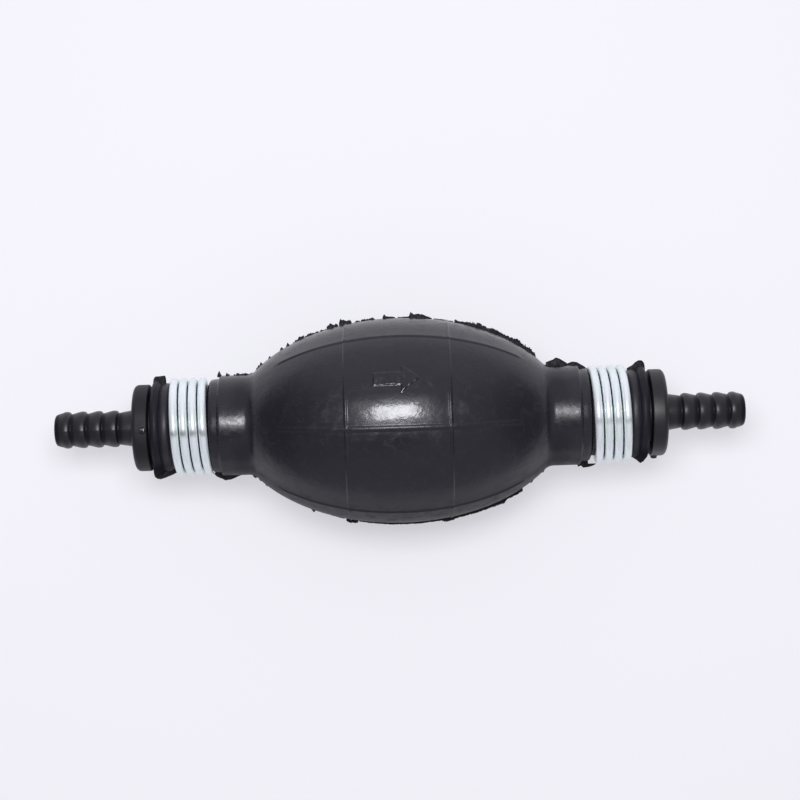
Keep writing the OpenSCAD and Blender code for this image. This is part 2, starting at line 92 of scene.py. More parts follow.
class BulbSettings(PropertyGroup):
    belly_radius: length("Belly radius", 0.0256, "Largest radius of the belly")
    half_belly: length("Half belly length", 0.042, "Half length of the belly's ellipse")
    neck_radius: length("Neck radius", 0.0125, "Outer radius of a neck")
    bore_radius: length("Bore radius", 0.008, "Inner radius of a neck")
    wall: length("Wall", 0.003, "Thickness of the rubber")
    neck_fillet: length("Neck fillet", 0.0035, "Radius between belly and neck")
    groove_start: length("Groove start", 0.0447, "Where a neck's groove begins")
    rib_width: length("Rib width", 0.001, "Width of a long rib at half height")
    rib_flank: length("Rib flank", 0.0006, "Width of a long rib's flank")
    rib_height: length("Rib height", 0.0002, "Height of a long rib")
    ring_width: length("Ring rib width", 0.00065, "Width of a ring rib at half height")
    ring_flank: length("Ring rib flank", 0.00035, "Width of a ring rib's flank")
    ring_height: length("Ring rib height", 0.00018, "Height of a ring rib")
    ring_place: length("Ring rib place", 0.0126, "Half the distance between ring ribs")
    ring_shift: length("Ring rib shift", 0.00035, "Shift of the ring ribs to the inlet")
    rib_angle: angle("Rib angle", 57.0, "Angle between two long ribs")
    rib_turn: angle("Rib turn", -0.8, "Turn of the middle rib from the top")
    arrow_length: length("Arrow length", 0.01125, "Length of the flow arrow")
    arrow_point: length("Arrow point", 0.0045, "Length of the arrow's head")
    arrow_head: length("Arrow head", 0.007, "Width of the arrow's head")
    arrow_shaft: length("Arrow shaft", 0.00325, "Width of the arrow's shaft")
    arrow_height: length("Arrow height", 0.00028, "Height of the arrow")
    arrow_angle: angle("Arrow angle", 26.5, "Turn of the arrow from the top")
    rubber: colour("Rubber", (0.0075, 0.0069, 0.0118), "Colour of the rubber")
    bloom: colour("Bloom", (0.036, 0.037, 0.042), "Colour of the dust and bloom")
    gloss: share("Roughness", 0.24, "Roughness of the rubber")
    haze: share("Haze", 0.29, "Roughness of the handled panel")
    shine: share("Shine", 1.0, "Shine of the handled panel")


class FlashSettings(PropertyGroup):
    thickness: length("Thickness", 0.00045, "Thickness of the flash")
    step: length("Step", 0.00014, "Distance between points of a tear")
    seed: count("Seed", 7, "Seed of the tears")


class ClampSettings(PropertyGroup):
    wire_radius: length("Wire radius", 0.00103, "Radius of the clamp wire")
    coil_radius: length("Coil radius", 0.01125, "Radius of the wire's centre line")
    pitch: length("Pitch", 0.00235, "Distance between turns")
    turns: factor("Turns", 3.7, "Turns of a clamp")
    place: length("Place", 0.05225, "Distance of a clamp from the middle")
    inlet_start: angle("Inlet start", -93.0, "Where the inlet clamp begins")
    outlet_start: angle("Outlet start", -35.0, "Where the outlet clamp begins")
    zinc: colour("Zinc", (0.85, 0.895, 0.925), "Colour of the plating")
    gloss: share("Roughness", 0.22, "Roughness of the plating")


class BarbSettings(PropertyGroup):
    flange_radius: length("Flange radius", 0.0108, "Outer radius of the flange")
    flange_width: length("Flange width", 0.0039, "Thickness of the flange")
    flange_round: length("Flange round", 0.0012, "Rounding of the flange's edge")
    stem_radius: length("Stem radius", 0.0045, "Radius of the stem at the flange")
    root_radius: length("Root radius", 0.00398, "Radius between the teeth")
    crest_radius: length("Crest radius", 0.0046, "Radius over the teeth")
    plain: length("Plain length", 0.0042, "Plain stem before the first tooth")
    teeth: count("Teeth", 4, "Number of teeth", min=1)
    gate_radius: length("Gate radius", 0.0009, "Radius of the gate stub")
    nylon: colour("Nylon", (0.0065, 0.006, 0.0085), "Colour of the nylon")
    gloss: share("Roughness", 0.35, "Roughness of the nylon")


class ValveSettings(PropertyGroup):
    wire_radius: length("Wire radius", 0.0002, "Radius of the spring wire")
    coil_radius: length("Coil radius", 0.00245, "Radius of the wire's centre line")
    turns: factor("Turns", 5.5, "Turns of a valve spring")
    seated: factor("Seated end", 2.5, "Still end of a spring, in wire radii")
    acetal: colour("Acetal", (0.8, 0.79, 0.74), "Colour of seat, cage and poppet")
    seal: colour("Seal", (0.09, 0.05, 0.04), "Colour of the rubber seals")
    steel: colour("Steel", (0.6, 0.6, 0.62), "Colour of the spring wire")


class StageSettings(PropertyGroup):
    floor: colour("Floor", (0.9, 0.892, 0.93), "Colour of the floor")
    self_lit: share("Self-lit share", 0.52, "Share of the floor without shadow")
    lamp: power("Lamp", 1.4, "Power of the main lamp")
    veil: power("Veil", 0.4, "Power of the wide lamp")
    sky: factor("Sky", 0.47, "Strength of the sky")
    back_glow: share("Back glow", 0.6, "Extra light low down behind", max=3.0)
    inlet_shade: share("Inlet shade", 0.35, "Light left low on the inlet's side")
    outlet_shade: share("Outlet shade", 0.4, "Light left low on the outlet's side")
    distance: length("Distance", 0.5, "Distance of the camera")
    aim: length("Aim", 0.00505, "How far past the origin it aims")
    tilt: angle("Tilt", 2.84, "Tilt from straight down")
    roll: angle("Roll", 1.75, "Roll of the camera")


# --- Meshes ---


def link(obj):
    bpy.context.scene.collection.objects.link(obj)
    return obj


def mesh_object(name, points, faces, material):
    """A smooth mesh object from points in metres."""
    mesh = bpy.data.meshes.new(name)
    mesh.from_pydata([tuple(p) for p in points], [], faces)
    mesh.polygons.foreach_set("use_smooth", [True] * len(mesh.polygons))
    mesh.materials.append(material)
    mesh.validate()
    return link(bpy.data.objects.new(name, mesh))


def arc(centre, radius, start, end, steps):
    """Points (x, r) on an arc, with angles in degrees from +x towards +r."""
    x, r = centre
    turns = [math.radians(t) for t in np.linspace(start, end, steps)]
    return [(x + radius * math.cos(t), r + radius * math.sin(t)) for t in turns]


def spread(stops):
    """Rising values through [start, (end, step), ...]."""
    values = [float(stops[0])]
    for end, step in stops[1:]:
        count = max(1, round((end - values[-1]) / step))
        values += list(np.linspace(values[-1], end, count + 1)[1:])
    return np.array(values)


def in_mm(*sizes):
    return [size / MM for size in sizes]


def ridge(d, width, flank):
    """1 on a band about 0 and straight flanks beside it; the width is taken at half height."""
    return np.clip((width / 2 - np.abs(d)) / flank + 0.5, 0, 1)


def grid_faces(rows, columns, wrap_rows, wrap_columns, first=0):
    """Faces between the points of a grid, which joins up where it wraps."""
    square = ((0, 0), (1, 0), (1, 1), (0, 1))
    return [
        tuple(first + (i + r) % rows * columns + (j + c) % columns for r, c in square)
        for i in range(rows if wrap_rows else rows - 1)
        for j in range(columns if wrap_columns else columns - 1)
    ]


def turned_over(faces, over):
    return [face[::-1] for face in faces] if over else faces


def lathe(profile, columns):
    """Points and faces of a closed ring about the x axis, from a closed line of (x, r)."""
    turn = np.linspace(0, 2 * math.pi, columns, endpoint=False)
    x, r = np.repeat(np.array(profile), columns, axis=0).T
    t = np.tile(turn, len(profile))
    points = np.stack([x, r * np.sin(t), r * np.cos(t)], axis=1)
    return points, grid_faces(len(profile), columns, True, True)


# --- Bulb ---


# The groove's edges in millimetres: the distance on from its start, or back from the bulb's end,
# and the depth under the neck
LEDGE = (
    (0.03, 0.62), (0.1, 0.74), (0.3, 0.8), (1.2, 0.84), (1.9, 0.95), (2.25, 1.2), (2.45, 1.6),
    (2.55, 2.0),
)
SWELL = (
    (5.0, 2.2), (4.75, 2.08), (4.5, 1.88), (4.25, 1.68), (3.95, 1.52), (3.6, 1.45), (3.25, 1.45),
    (2.9, 1.53), (2.6, 1.66), (2.42, 1.77), (2.32, 1.8),
)
# Where the long ribs end, and over which length they run out
RIB_END, RIB_FADE = 30.3, 0.9
# The skin's slight unevenness: its height, where it ends and over which length it runs out
WAVE, WAVE_END, WAVE_FADE = 0.015, 44, 8


class BulbShape:
    """The bulb's outline and its moulded relief, in millimetres."""

    def __init__(self, s):
        self.s = s
        self.a, self.b, self.wall = in_mm(s.half_belly, s.belly_radius, s.wall)
        self.neck, self.bore, self.fillet = in_mm(s.neck_radius, s.bore_radius, s.neck_fillet)
        self.groove, self.end, self.rest = in_mm(s.groove_start, BULB_END, REST_HEIGHT)
        low, high = 0.0, math.pi / 2
        for _ in range(40):
            t = (low + high) / 2
            low, high = (low, t) if self.fillet_centre(t)[1] > self.neck + self.fillet else (t, high)
        self.centre = self.fillet_centre(t)
        self.fillet_x = self.a * math.cos(t)

    def fillet_centre(self, t):
        nx, nr = math.cos(t) / self.a, math.sin(t) / self.b
        size = math.hypot(nx, nr)
        return (
            self.a * math.cos(t) + self.fillet * nx / size,
            self.b * math.sin(t) + self.fillet * nr / size,
        )

    def body_r(self, x):
        """Outer radius of belly, fillet and neck at x."""
        x = np.abs(x)
        belly = self.b * np.sqrt(np.clip(1 - (x / self.a) ** 2, 0, 1))
        dip = np.clip(self.fillet**2 - (self.centre[0] - x) ** 2, 0, None)
        hollow = self.centre[1] - np.sqrt(dip)
        return np.where(x < self.fillet_x, belly, np.where(x < self.centre[0], hollow, self.neck))

    def outer_half(self):
        """Points (x, r) from the middle to the outlet end's bore."""
        ring = self.s.ring_place / MM
        at = spread(
            [0, (7.4, 0.16), (ring - 0.9, 0.5), (ring + 0.9, 0.06), (self.fillet_x - 2, 0.75),
             (self.centre[0] + 0.5, 0.22), (self.groove - 0.6, 0.6)]
        )
        body = [(x, float(self.body_r(x))) for x in at]
        g, n, e = self.groove, self.neck, self.end
        shoulder = arc((g - 0.5, n - 0.5), 0.5, 90, 0, 7)[1:]
        ledge = [(g + x, n - r) for x, r in LEDGE]
        seat = [(x, n - 2.22) for x in np.linspace(g + 2.8, e - 5.3, 5)]
        swell = [(e - x, n - r) for x, r in SWELL]
        bead = arc((e - 1.18, n - 1.85), 1.12, 172, 12, 15)
        face = [(e - 0.03, n - 1.85), (e, n - 2.0), (e, (n + self.bore) / 2), (e, self.bore + 0.35)]
        return body + shoulder + ledge + seat + swell + bead + face

    def inner_half(self):
        a, b = self.a - self.wall, self.b - self.wall
        last = a * math.sqrt(1 - (self.bore / b) ** 2)
        at = spread([0, (last - 4, 2.4), (last, 0.6)])
        cavity = [(x, b * math.sqrt(1 - (x / a) ** 2)) for x in at]
        lip = arc((self.end - 0.35, self.bore + 0.35), 0.35, 270, 350, 4)
        return cavity + [(x, self.bore) for x in (last + 1.5, last + 6, last + 12)] + lip

    def loop(self):
        """The closed line of the wall's section, and which of its points are on the outside."""
        outer, inner = self.outer_half(), self.inner_half()
        outside = [(-x, r) for x, r in reversed(outer[1:])] + outer
        inside = list(reversed(inner)) + [(-x, r) for x, r in inner[1:]]
        line = np.array(outside + inside)
        return line, np.arange(len(line)) < len(outside)

    def shoulder_rib(self, d, height):
        """A rib that rises sharply on the side of negative d and runs out softly on the other."""
        rise = np.clip((d + 0.6) / 0.8, 0, 1)
        fall = np.clip(1 - (d - 0.2) / 3.4, 0, 1)
        return height * rise * rise * (3 - 2 * rise) * fall * fall

    def relief(self, x, turn):
        """How far the outside stands out of the plain outline at x and an angle from the top."""
        s, radius = self.s, self.body_r(x)
        fade = np.clip((RIB_END - np.abs(x)) / RIB_FADE, 0, 1)
        height, width, flank = in_mm(s.rib_height, s.rib_width, s.rib_flank)
        from_ring = np.abs(x + s.ring_shift / MM) - s.ring_place / MM
        rings = s.ring_height / MM * ridge(from_ring, *in_mm(s.ring_width, s.ring_flank))
        out = np.zeros_like(x)
        for half in (0.0, math.pi):
            for place in (-1, 0, 1):
                d = turn - (half + place * s.rib_angle) - s.rib_turn
                d = ((d + math.pi) % (2 * math.pi) - math.pi) * radius
                if place:
                    out += self.shoulder_rib(d * place, 1.1 * height) * fade
                else:
                    middle = height * ridge(d, width, flank) * fade
                    rings = np.maximum(rings, middle) + 0.12 * np.minimum(rings, middle)
        out += rings
        out += self.arrow(x, turn, radius)
        wave = np.sin(0.31 * x + 1.1) * np.sin(3 * turn + 0.4)
        wave = wave + 0.7 * np.sin(0.17 * x - 2 * turn + 2.0)
        wave += 0.5 * np.sin(0.55 * x + 0.3) * np.sin(5 * turn + 1.9)
        return out + WAVE * wave * np.clip((WAVE_END - np.abs(x)) / WAVE_FADE, 0, 1)

    def arrow(self, x, turn, radius):
        """The raised flow arrow, from the distance to its outline."""
        s = self.s
        half, head, shaft = (size / 2 for size in in_mm(s.arrow_length, s.arrow_head, s.arrow_shaft))
        neck = half - s.arrow_point / MM
        corners = [(-half, -shaft), (neck, -shaft), (neck, -head), (half, 0.0),
                   (neck, head), (neck, shaft), (-half, shaft)]
        u, v = x + 0.5, (turn - s.arrow_angle) * radius
        near, inside = np.full_like(u, 1e9), np.zeros(u.shape, bool)
        for (x0, y0), (x1, y1) in zip(corners, corners[1:] + corners[:1]):
            dx, dy = x1 - x0, y1 - y0
            t = np.clip(((u - x0) * dx + (v - y0) * dy) / (dx * dx + dy * dy), 0, 1)
            near = np.minimum(near, np.hypot(u - x0 - t * dx, v - y0 - t * dy))
            if dy:
                inside ^= ((y0 > v) != (y1 > v)) & (u < x0 + (v - y0) / dy * dx)
        signed = np.where(inside, near, -near)
        worn = 0.7 + 0.3 * np.sin(2.3 * u + 0.6) * np.sin(1.7 * v + 1.1 * u + 0.5)
        return s.arrow_height / MM * worn * np.clip(signed / 0.3 + 0.5, 0, 1)

    def columns(self, side):
        """Angles from the top round one half, close together where something is moulded."""
        step, a = math.degrees(self.s.rib_angle), math.degrees(self.s.arrow_angle)
        stops = [0, (4.2, 0.2)]
        if side > 0:
            stops += [(a - 9, 1.1), (a - 3, 0.24), (a + 3, 0.4), (a + 9, 0.24)]
        stops += [(step - 4.2, 2.2), (step + 3.4, 0.28), (step + 8, 0.9), (180 - step - 8, 2.4),
                  (180 - step - 2.0, 0.9), (180 - step + 2.2, 0.24), (177.3, 2.6), (180, 0.22)]
        return np.radians(spread(stops))

    def grid(self, turn):
        """Points of the moulded wall for rows along its section and columns at those angles."""
        line, outside = self.loop()
        along = np.roll(line, -1, axis=0) - np.roll(line, 1, axis=0)
        along /= np.linalg.norm(along, axis=1)[:, None]
        normal = np.stack([-along[:, 1], along[:, 0]], axis=1)
        x, t = np.broadcast_arrays(line[:, :1], turn[None, :])
        on_belly = (outside & (np.abs(line[:, 0]) < self.groove - 0.6))[:, None]
        lift = np.where(on_belly, self.relief(x, t), 0.0)
        px, pr = (line[:, k : k + 1] + normal[:, k : k + 1] * lift for k in (0, 1))
        points = np.stack([px, pr * np.sin(t), pr * np.cos(t)], axis=2)
        flat = outside[:, None] & (points[:, :, 2] < self.rest)
        points[:, :, 2] = np.where(flat, self.rest, points[:, :, 2])
        return points


def bulb_half(shape, side, name, material):
    """One half of the bulb's wall: side is 1 for the back (+Y) and -1 for the front."""
    inner = shape.columns(side)
    turn = np.concatenate([[-inner[1]], inner, [2 * math.pi - inner[-2]]])
    points = shape.grid(side * turn) * MM
    normals = np.zeros_like(points)
    ahead = np.roll(points, -1, axis=0)
    face = -side * np.cross(ahead[:, 1:] - points[:, :-1], points[:, 1:] - ahead[:, :-1])
    for share_of_face in (face, np.roll(face, 1, axis=0)):
        normals[:, :-1] += share_of_face
        normals[:, 1:] += share_of_face
    normals /= np.linalg.norm(normals, axis=2)[:, :, None]
    points, normals = points[:, 1:-1], normals[:, 1:-1]
    points[:, (0, -1), 1] = 0.0
    rows, columns = points.shape[:2]
    first = tuple(range(0, rows * columns, columns))
    last = tuple(k + columns - 1 for k in first)
    faces = grid_faces(rows, columns, True, False) + [first[::-1], last]
    obj = mesh_object(name, points.reshape(-1, 3), turned_over(faces, side > 0), material)
    mesh = obj.data
    flat = normals.reshape(-1, 3)
    by_vertex = np.zeros(len(mesh.loops), np.int32)
    mesh.loops.foreach_get("vertex_index", by_vertex)
    split = flat[by_vertex]
    for polygon in list(mesh.polygons)[-2:]:
        polygon.use_smooth = False
        split[polygon.loop_start : polygon.loop_start + polygon.loop_total] = (0, -side, 0)
    mesh.normals_split_custom_set(split.tolist())
    return obj


def squeeze_blend(obj):
    """Bakes the piece's placement into its points."""
    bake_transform(obj)


class PUMP_OT_bulb(Operator):
    """Builds both halves of the rubber bulb, with its ribs and flow arrow"""

    bl_idname = "pump.bulb"
    bl_label = "Rubber bulb"

    def execute(self, context):
        s = context.scene.pump_bulb
        material = rubber_material(s)
        shape = BulbShape(s)
        for side, where in ((1, "back"), (-1, "front")):
            half = bulb_half(shape, side, "bulb_" + where, material)
            squeeze_blend(half)
            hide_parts("bulb", "squeeze_wall_" + where)
        return {"FINISHED"}


# --- Torn flash ---

# Torn strips: how ragged, then (x, height) along the strip, in millimetres
TORN_BACK = (
    (0.3, (-45.3, 0.1), (-44.75, 1.45), (-44.5, 0.7), (-44.2, 0.1)),
    (0.6, (-43.2, 0.1), (-42.9, 1.0), (-42.6, 0.5), (-42.2, 0.5)),
    (0.9, (-41.2, 0.4), (-40.3, 0.9), (-39.2, 0.6), (-38.0, 0.9), (-37.1, 0.5), (-36.5, 0.2)),
    (0.8, (-35.7, 0.2), (-35.2, 1.2), (-34.7, 0.8), (-34.3, 1.3), (-33.9, 0.3)),
    (0.4, (-32.5, 0.1), (-32.1, 0.7), (-31.8, 0.1)), (0.5, (-29.5, 0.1), (-29.1, 1.0), (-28.6, 0.2)),
    (0.5, (-27.9, 0.1), (-27.5, 1.1), (-27.0, 0.2)), (0.9, (-26.2, 0.1), (-25.5, 0.7), (-24.9, 0.5)),
    (0.5, (-24.9, 0.4), (-24.5, 1.4), (-24.0, 0.9), (-23.3, 0.7)),
    (1.0, (-23.2, 0.5), (-22.0, 0.7), (-20.9, 0.6), (-19.7, 0.6), (-18.7, 0.6), (-17.6, 0.9)),
    (0.5, (-17.6, 0.8), (-16.7, 1.3), (-16.0, 0.8), (-15.6, 0.5), (-15.2, 1.1), (-14.7, 0.3)),
    (0.5, (-14.5, 0.7), (-14.1, 1.75), (-13.6, 1.5), (-12.6, 0.9), (-11.6, 1.1), (-11.3, 0.2)),
    (0.7, (-10.6, 0.1), (-10.0, 0.7), (-9.2, 0.3)), (0.8, (-9.0, 0.5), (-7.4, 0.6), (-5.5, 0.75)),
    (0.4, (-3.6, 0.2), (-3.2, 1.3), (-2.7, 0.6), (-1.0, 0.4), (-0.4, 0.1)),
    (0.8, (0.2, 0.3), (3.0, 0.4)),
    (0.35, (3.0, 0.4), (3.4, 1.5), (4.0, 1.1), (6.4, 0.95), (7.3, 0.7), (8.7, 0.25)),
    (0.6, (9.2, 0.3), (14.0, 0.3)), (0.5, (14.3, 0.9), (14.7, 0.9), (15.4, 0.5), (17.2, 0.7)),
    (0.6, (17.1, 0.8), (18.1, 1.5), (19.2, 1.7), (20.2, 2.0), (21.2, 1.5)),
    (0.5, (21.1, 1.3), (22.4, 1.0), (23.2, 1.1), (23.8, 1.6), (24.8, 1.2)),
    (0.45, (24.7, 1.2), (26.4, 1.3), (28.9, 1.25), (29.6, 1.5), (30.4, 1.7), (31.2, 1.3)),
    (0.65, (31.0, 1.3), (31.7, 1.7), (32.4, 1.9), (33.2, 2.0), (33.6, 0.9), (34.1, 1.2), (34.4, 0.2)),
)
TORN_FRONT = (
    (0.6, (-41.0, 0.1), (-40.6, 0.5), (-40.2, 0.1)), (0.6, (-37.3, 0.1), (-36.8, 0.8), (-36.2, 0.2)),
    (0.6, (-35.9, 0.1), (-35.4, 0.8), (-34.9, 0.1)), (0.6, (-34.4, 0.1), (-34.0, 0.7), (-33.5, 0.1)),
    (0.3, (-22.9, 0.2), (-22.3, 0.9), (-21.8, 0.2)), (0.4, (-19.0, 0.2), (-14.5, 0.4)),
    (0.3, (-14.2, 0.8), (-13.6, 1.2), (-12.4, 1.0), (-11.4, 0.9), (-11.1, 0.3)),
    (0.35, (-11.0, 0.45), (-4.0, 0.62), (4.0, 0.68), (9.6, 0.6)),
    (0.4, (9.4, 0.7), (10.2, 1.15), (12.6, 1.15), (13.4, 0.8), (17.0, 0.95), (21.0, 0.9)),
    (0.4, (20.8, 0.9), (22.4, 1.0), (24.0, 1.35), (25.6, 1.4), (26.2, 0.75), (28.4, 0.95),
     (30.2, 1.0)),
    (0.5, (31.8, 0.1), (32.6, 0.6), (33.1, 0.1)), (0.5, (35.0, 0.1), (35.5, 0.6), (36.0, 0.1)),
)
# Whole webs that bridge the necks' grooves, as outlines of (x, r)
WEB_BACK = [
    [(-61.35, 11.4), (-61.2, 12.2), (-60.8, 12.75), (-59.5, 12.85), (-58.4, 12.98),
     (-58.2, 12.7), (-58.1, 12.1)],
    [(36.8, 13.4), (38.6, 14.0), (39.3, 14.5), (40.3, 14.2), (42.2, 12.9), (43.4, 13.35),
     (44.6, 13.2), (46.2, 12.2), (47.4, 11.2)],
    [(57.0, 11.3), (58.4, 12.0), (59.2, 12.75), (60.0, 13.15), (60.8, 13.1), (61.35, 12.5),
     (61.5, 11.9)],
]
WEB_FRONT = [
    [(-62.0, 11.3), (-61.8, 12.3), (-61.2, 12.8), (-60.2, 12.95), (-59.0, 12.6),
     (-57.4, 12.0), (-55.9, 11.3)],
    [(-48.4, 10.9), (-47.3, 11.6), (-46.3, 12.7), (-44.2, 13.75), (-42.6, 13.55),
     (-41.4, 13.1), (-40.4, 12.6)],
    [(43.6, 12.0), (44.3, 13.0), (44.9, 12.7), (45.5, 13.3), (46.6, 13.2),
     (47.6, 13.0), (48.4, 12.7), (48.6, 12.5)],
    [(57.6, 10.9), (58.8, 11.7), (59.8, 12.6), (60.6, 12.2), (61.2, 11.5)],
]
# Where a web is rooted over a groove, and over the part of a groove that the coil fills
GROOVE_ROOT, COIL_X, COIL_ROOT = 10.1, (46.6, 55.5), 12.35
# How deep the flash is rooted in the skin, and how thin its torn edge is
SKIN_ROOT, EDGE_SHARE = 0.4, 0.12


def noise_line(rng, count):
    """A torn line between 0 and 1: slow waves under quick ones."""
    total = np.zeros(count)
    for scale, weight in ((12, 0.45), (5, 0.35), (2, 0.2)):
        knots = rng.random(count // scale + 3)
        total += weight * np.interp(np.arange(count) / scale, np.arange(len(knots)), knots)
    return total


def places_along(line, step, least):
    """Even places along an outline, about a step apart."""
    start, end = line[0][0], line[-1][0]
    return np.linspace(start, end, max(least, round((end - start) / step)))


def torn_plate(points, faces, x, root, tip, thickness, rng, side):
    """Adds a thin closed plate between two lines in the parting plane."""
    count = len(x)
    sway = (noise_line(rng, count) - 0.5) * 0.5
    base = len(points)
    for i in range(count):
        grow = max(tip[i] - root[i] - SKIN_ROOT, 0.0)
        middle = root[i] + 0.6 * (tip[i] - root[i])
        half = thickness / 2
        lean = sway[i] * grow
        ring = [
            (root[i], half), (middle, half * 0.8 + 0.4 * lean), (tip[i], EDGE_SHARE * half + lean),
            (tip[i], -EDGE_SHARE * half + lean), (middle, -half * 0.8 + 0.4 * lean), (root[i], -half),
        ]
        points += [(x[i] * MM, side * r * MM, z * MM) for r, z in ring]
    end = base + 6 * (count - 1)
    caps = [tuple(base + k for k in range(6)), tuple(end + 5 - k for k in range(6))]
    faces += turned_over(grid_faces(count, 6, False, True, base) + caps, side < 0)


class PUMP_OT_flash(Operator):
    """Builds the torn moulding flash along the parting line"""

    bl_idname = "pump.flash"
    bl_label = "Moulding flash"

    def execute(self, context):
        s = context.scene.pump_flash
        shape = BulbShape(context.scene.pump_bulb)
        material = flash_material(context.scene.pump_bulb)
        thickness, step = s.thickness / MM, s.step / MM
        for side, where, strips, webs in (
            (1, "back", TORN_BACK, WEB_BACK), (-1, "front", TORN_FRONT, WEB_FRONT),
        ):
            rng = np.random.default_rng(s.seed + (side > 0))
            points, faces = [], []
            for ragged, *outline in strips:
                places, heights = zip(*outline)
                x = places_along(outline, step, 5)
                tear = noise_line(rng, len(x)) + 0.6 * rng.random(len(x)) ** 2
                height = np.interp(x, places, heights) * np.clip(1.15 - ragged * tear, 0.1, 1.05)
                surface = shape.body_r(x)
                root, tip = surface - SKIN_ROOT, surface + height
                torn_plate(points, faces, x, root, tip, thickness, rng, side)
            for web in webs:
                places, radii = zip(*web)
                x = places_along(web, step, 8)
                tip = np.interp(x, places, radii) + 0.12 * (noise_line(rng, len(x)) - 0.5)
                over_groove = np.abs(x) > shape.groove - 0.7
                root = np.where(over_groove, GROOVE_ROOT, shape.body_r(x) - SKIN_ROOT)
                over_coil = (np.abs(x) > COIL_X[0]) & (np.abs(x) < COIL_X[1])
                root = np.minimum(np.where(over_coil, COIL_ROOT, root), tip - 0.2)
                torn_plate(points, faces, x, root, tip, thickness * 1.5, rng, side)
            flash = mesh_object("parting_flash_" + where, points, faces, material)
            flash.data.set_sharp_from_angle(angle=math.radians(50))
            squeeze_blend(flash)
        return {"FINISHED"}


# --- Wound wire ---


class Tree:
    """Adds and joins the nodes of one tree."""

    def __init__(self, tree):
        self.tree = tree

    def put(self, value, socket):
        """Sets an input to a plain value, or joins another node's output to it."""
        if isinstance(value, bpy.types.NodeSocket):
            self.tree.links.new(value, socket)
        elif value is not None:
            socket.default_value = value

    def fill(self, node, values):
        """Sets a node's inputs by their names."""
        for name, value in values.items():
            self.put(value, node.inputs[name])
        return node

    def node(self, kind, *inputs, **settings):
        """A node with its inputs set by place: a number, a colour, or another node's output."""
        node = self.tree.nodes.new(kind)
        for key, value in settings.items():
            setattr(node, key, value)
        for place, value in enumerate(inputs):
            self.put(value, node.inputs[place])
        return node

    def add(self, kind, *inputs, out=0, **settings):
        """One output of a new node."""
        return self.node(kind, *inputs, **settings).outputs[out]

    def math(self, operation, *inputs):
        return self.add("ShaderNodeMath", *inputs, operation=operation)

    def times(self, a, b):
        return self.math("MULTIPLY", a, b)

    def plus(self, a, b, c):
        """a times b, plus c."""
        return self.math("MULTIPLY_ADD", a, b, c)

    def xyz(self, vector):
        """The three parts of a vector."""
        return self.node("ShaderNodeSeparateXYZ", vector).outputs

    def ramp(self, value, low, high, to_low=0.0, to_high=1.0):
        """A smooth step from to_low to to_high as value goes from low to high."""
        ends = (value, low, high, to_low, to_high)
        return self.add("ShaderNodeMapRange", *ends, interpolation_type="SMOOTHSTEP")


WIRE_INPUTS = {
    "Float": ("Wire radius", "Coil radius", "Pitch", "Turns", "Start", "Begins at", "Lead"),
    "Int": ("Points", "Sides"),
    "Material": ("Finish",),
}
# A wire thins towards its cut ends: over which share of its length, and to what share
TAPER_RUN, TAPER_END = 0.004, 0.72


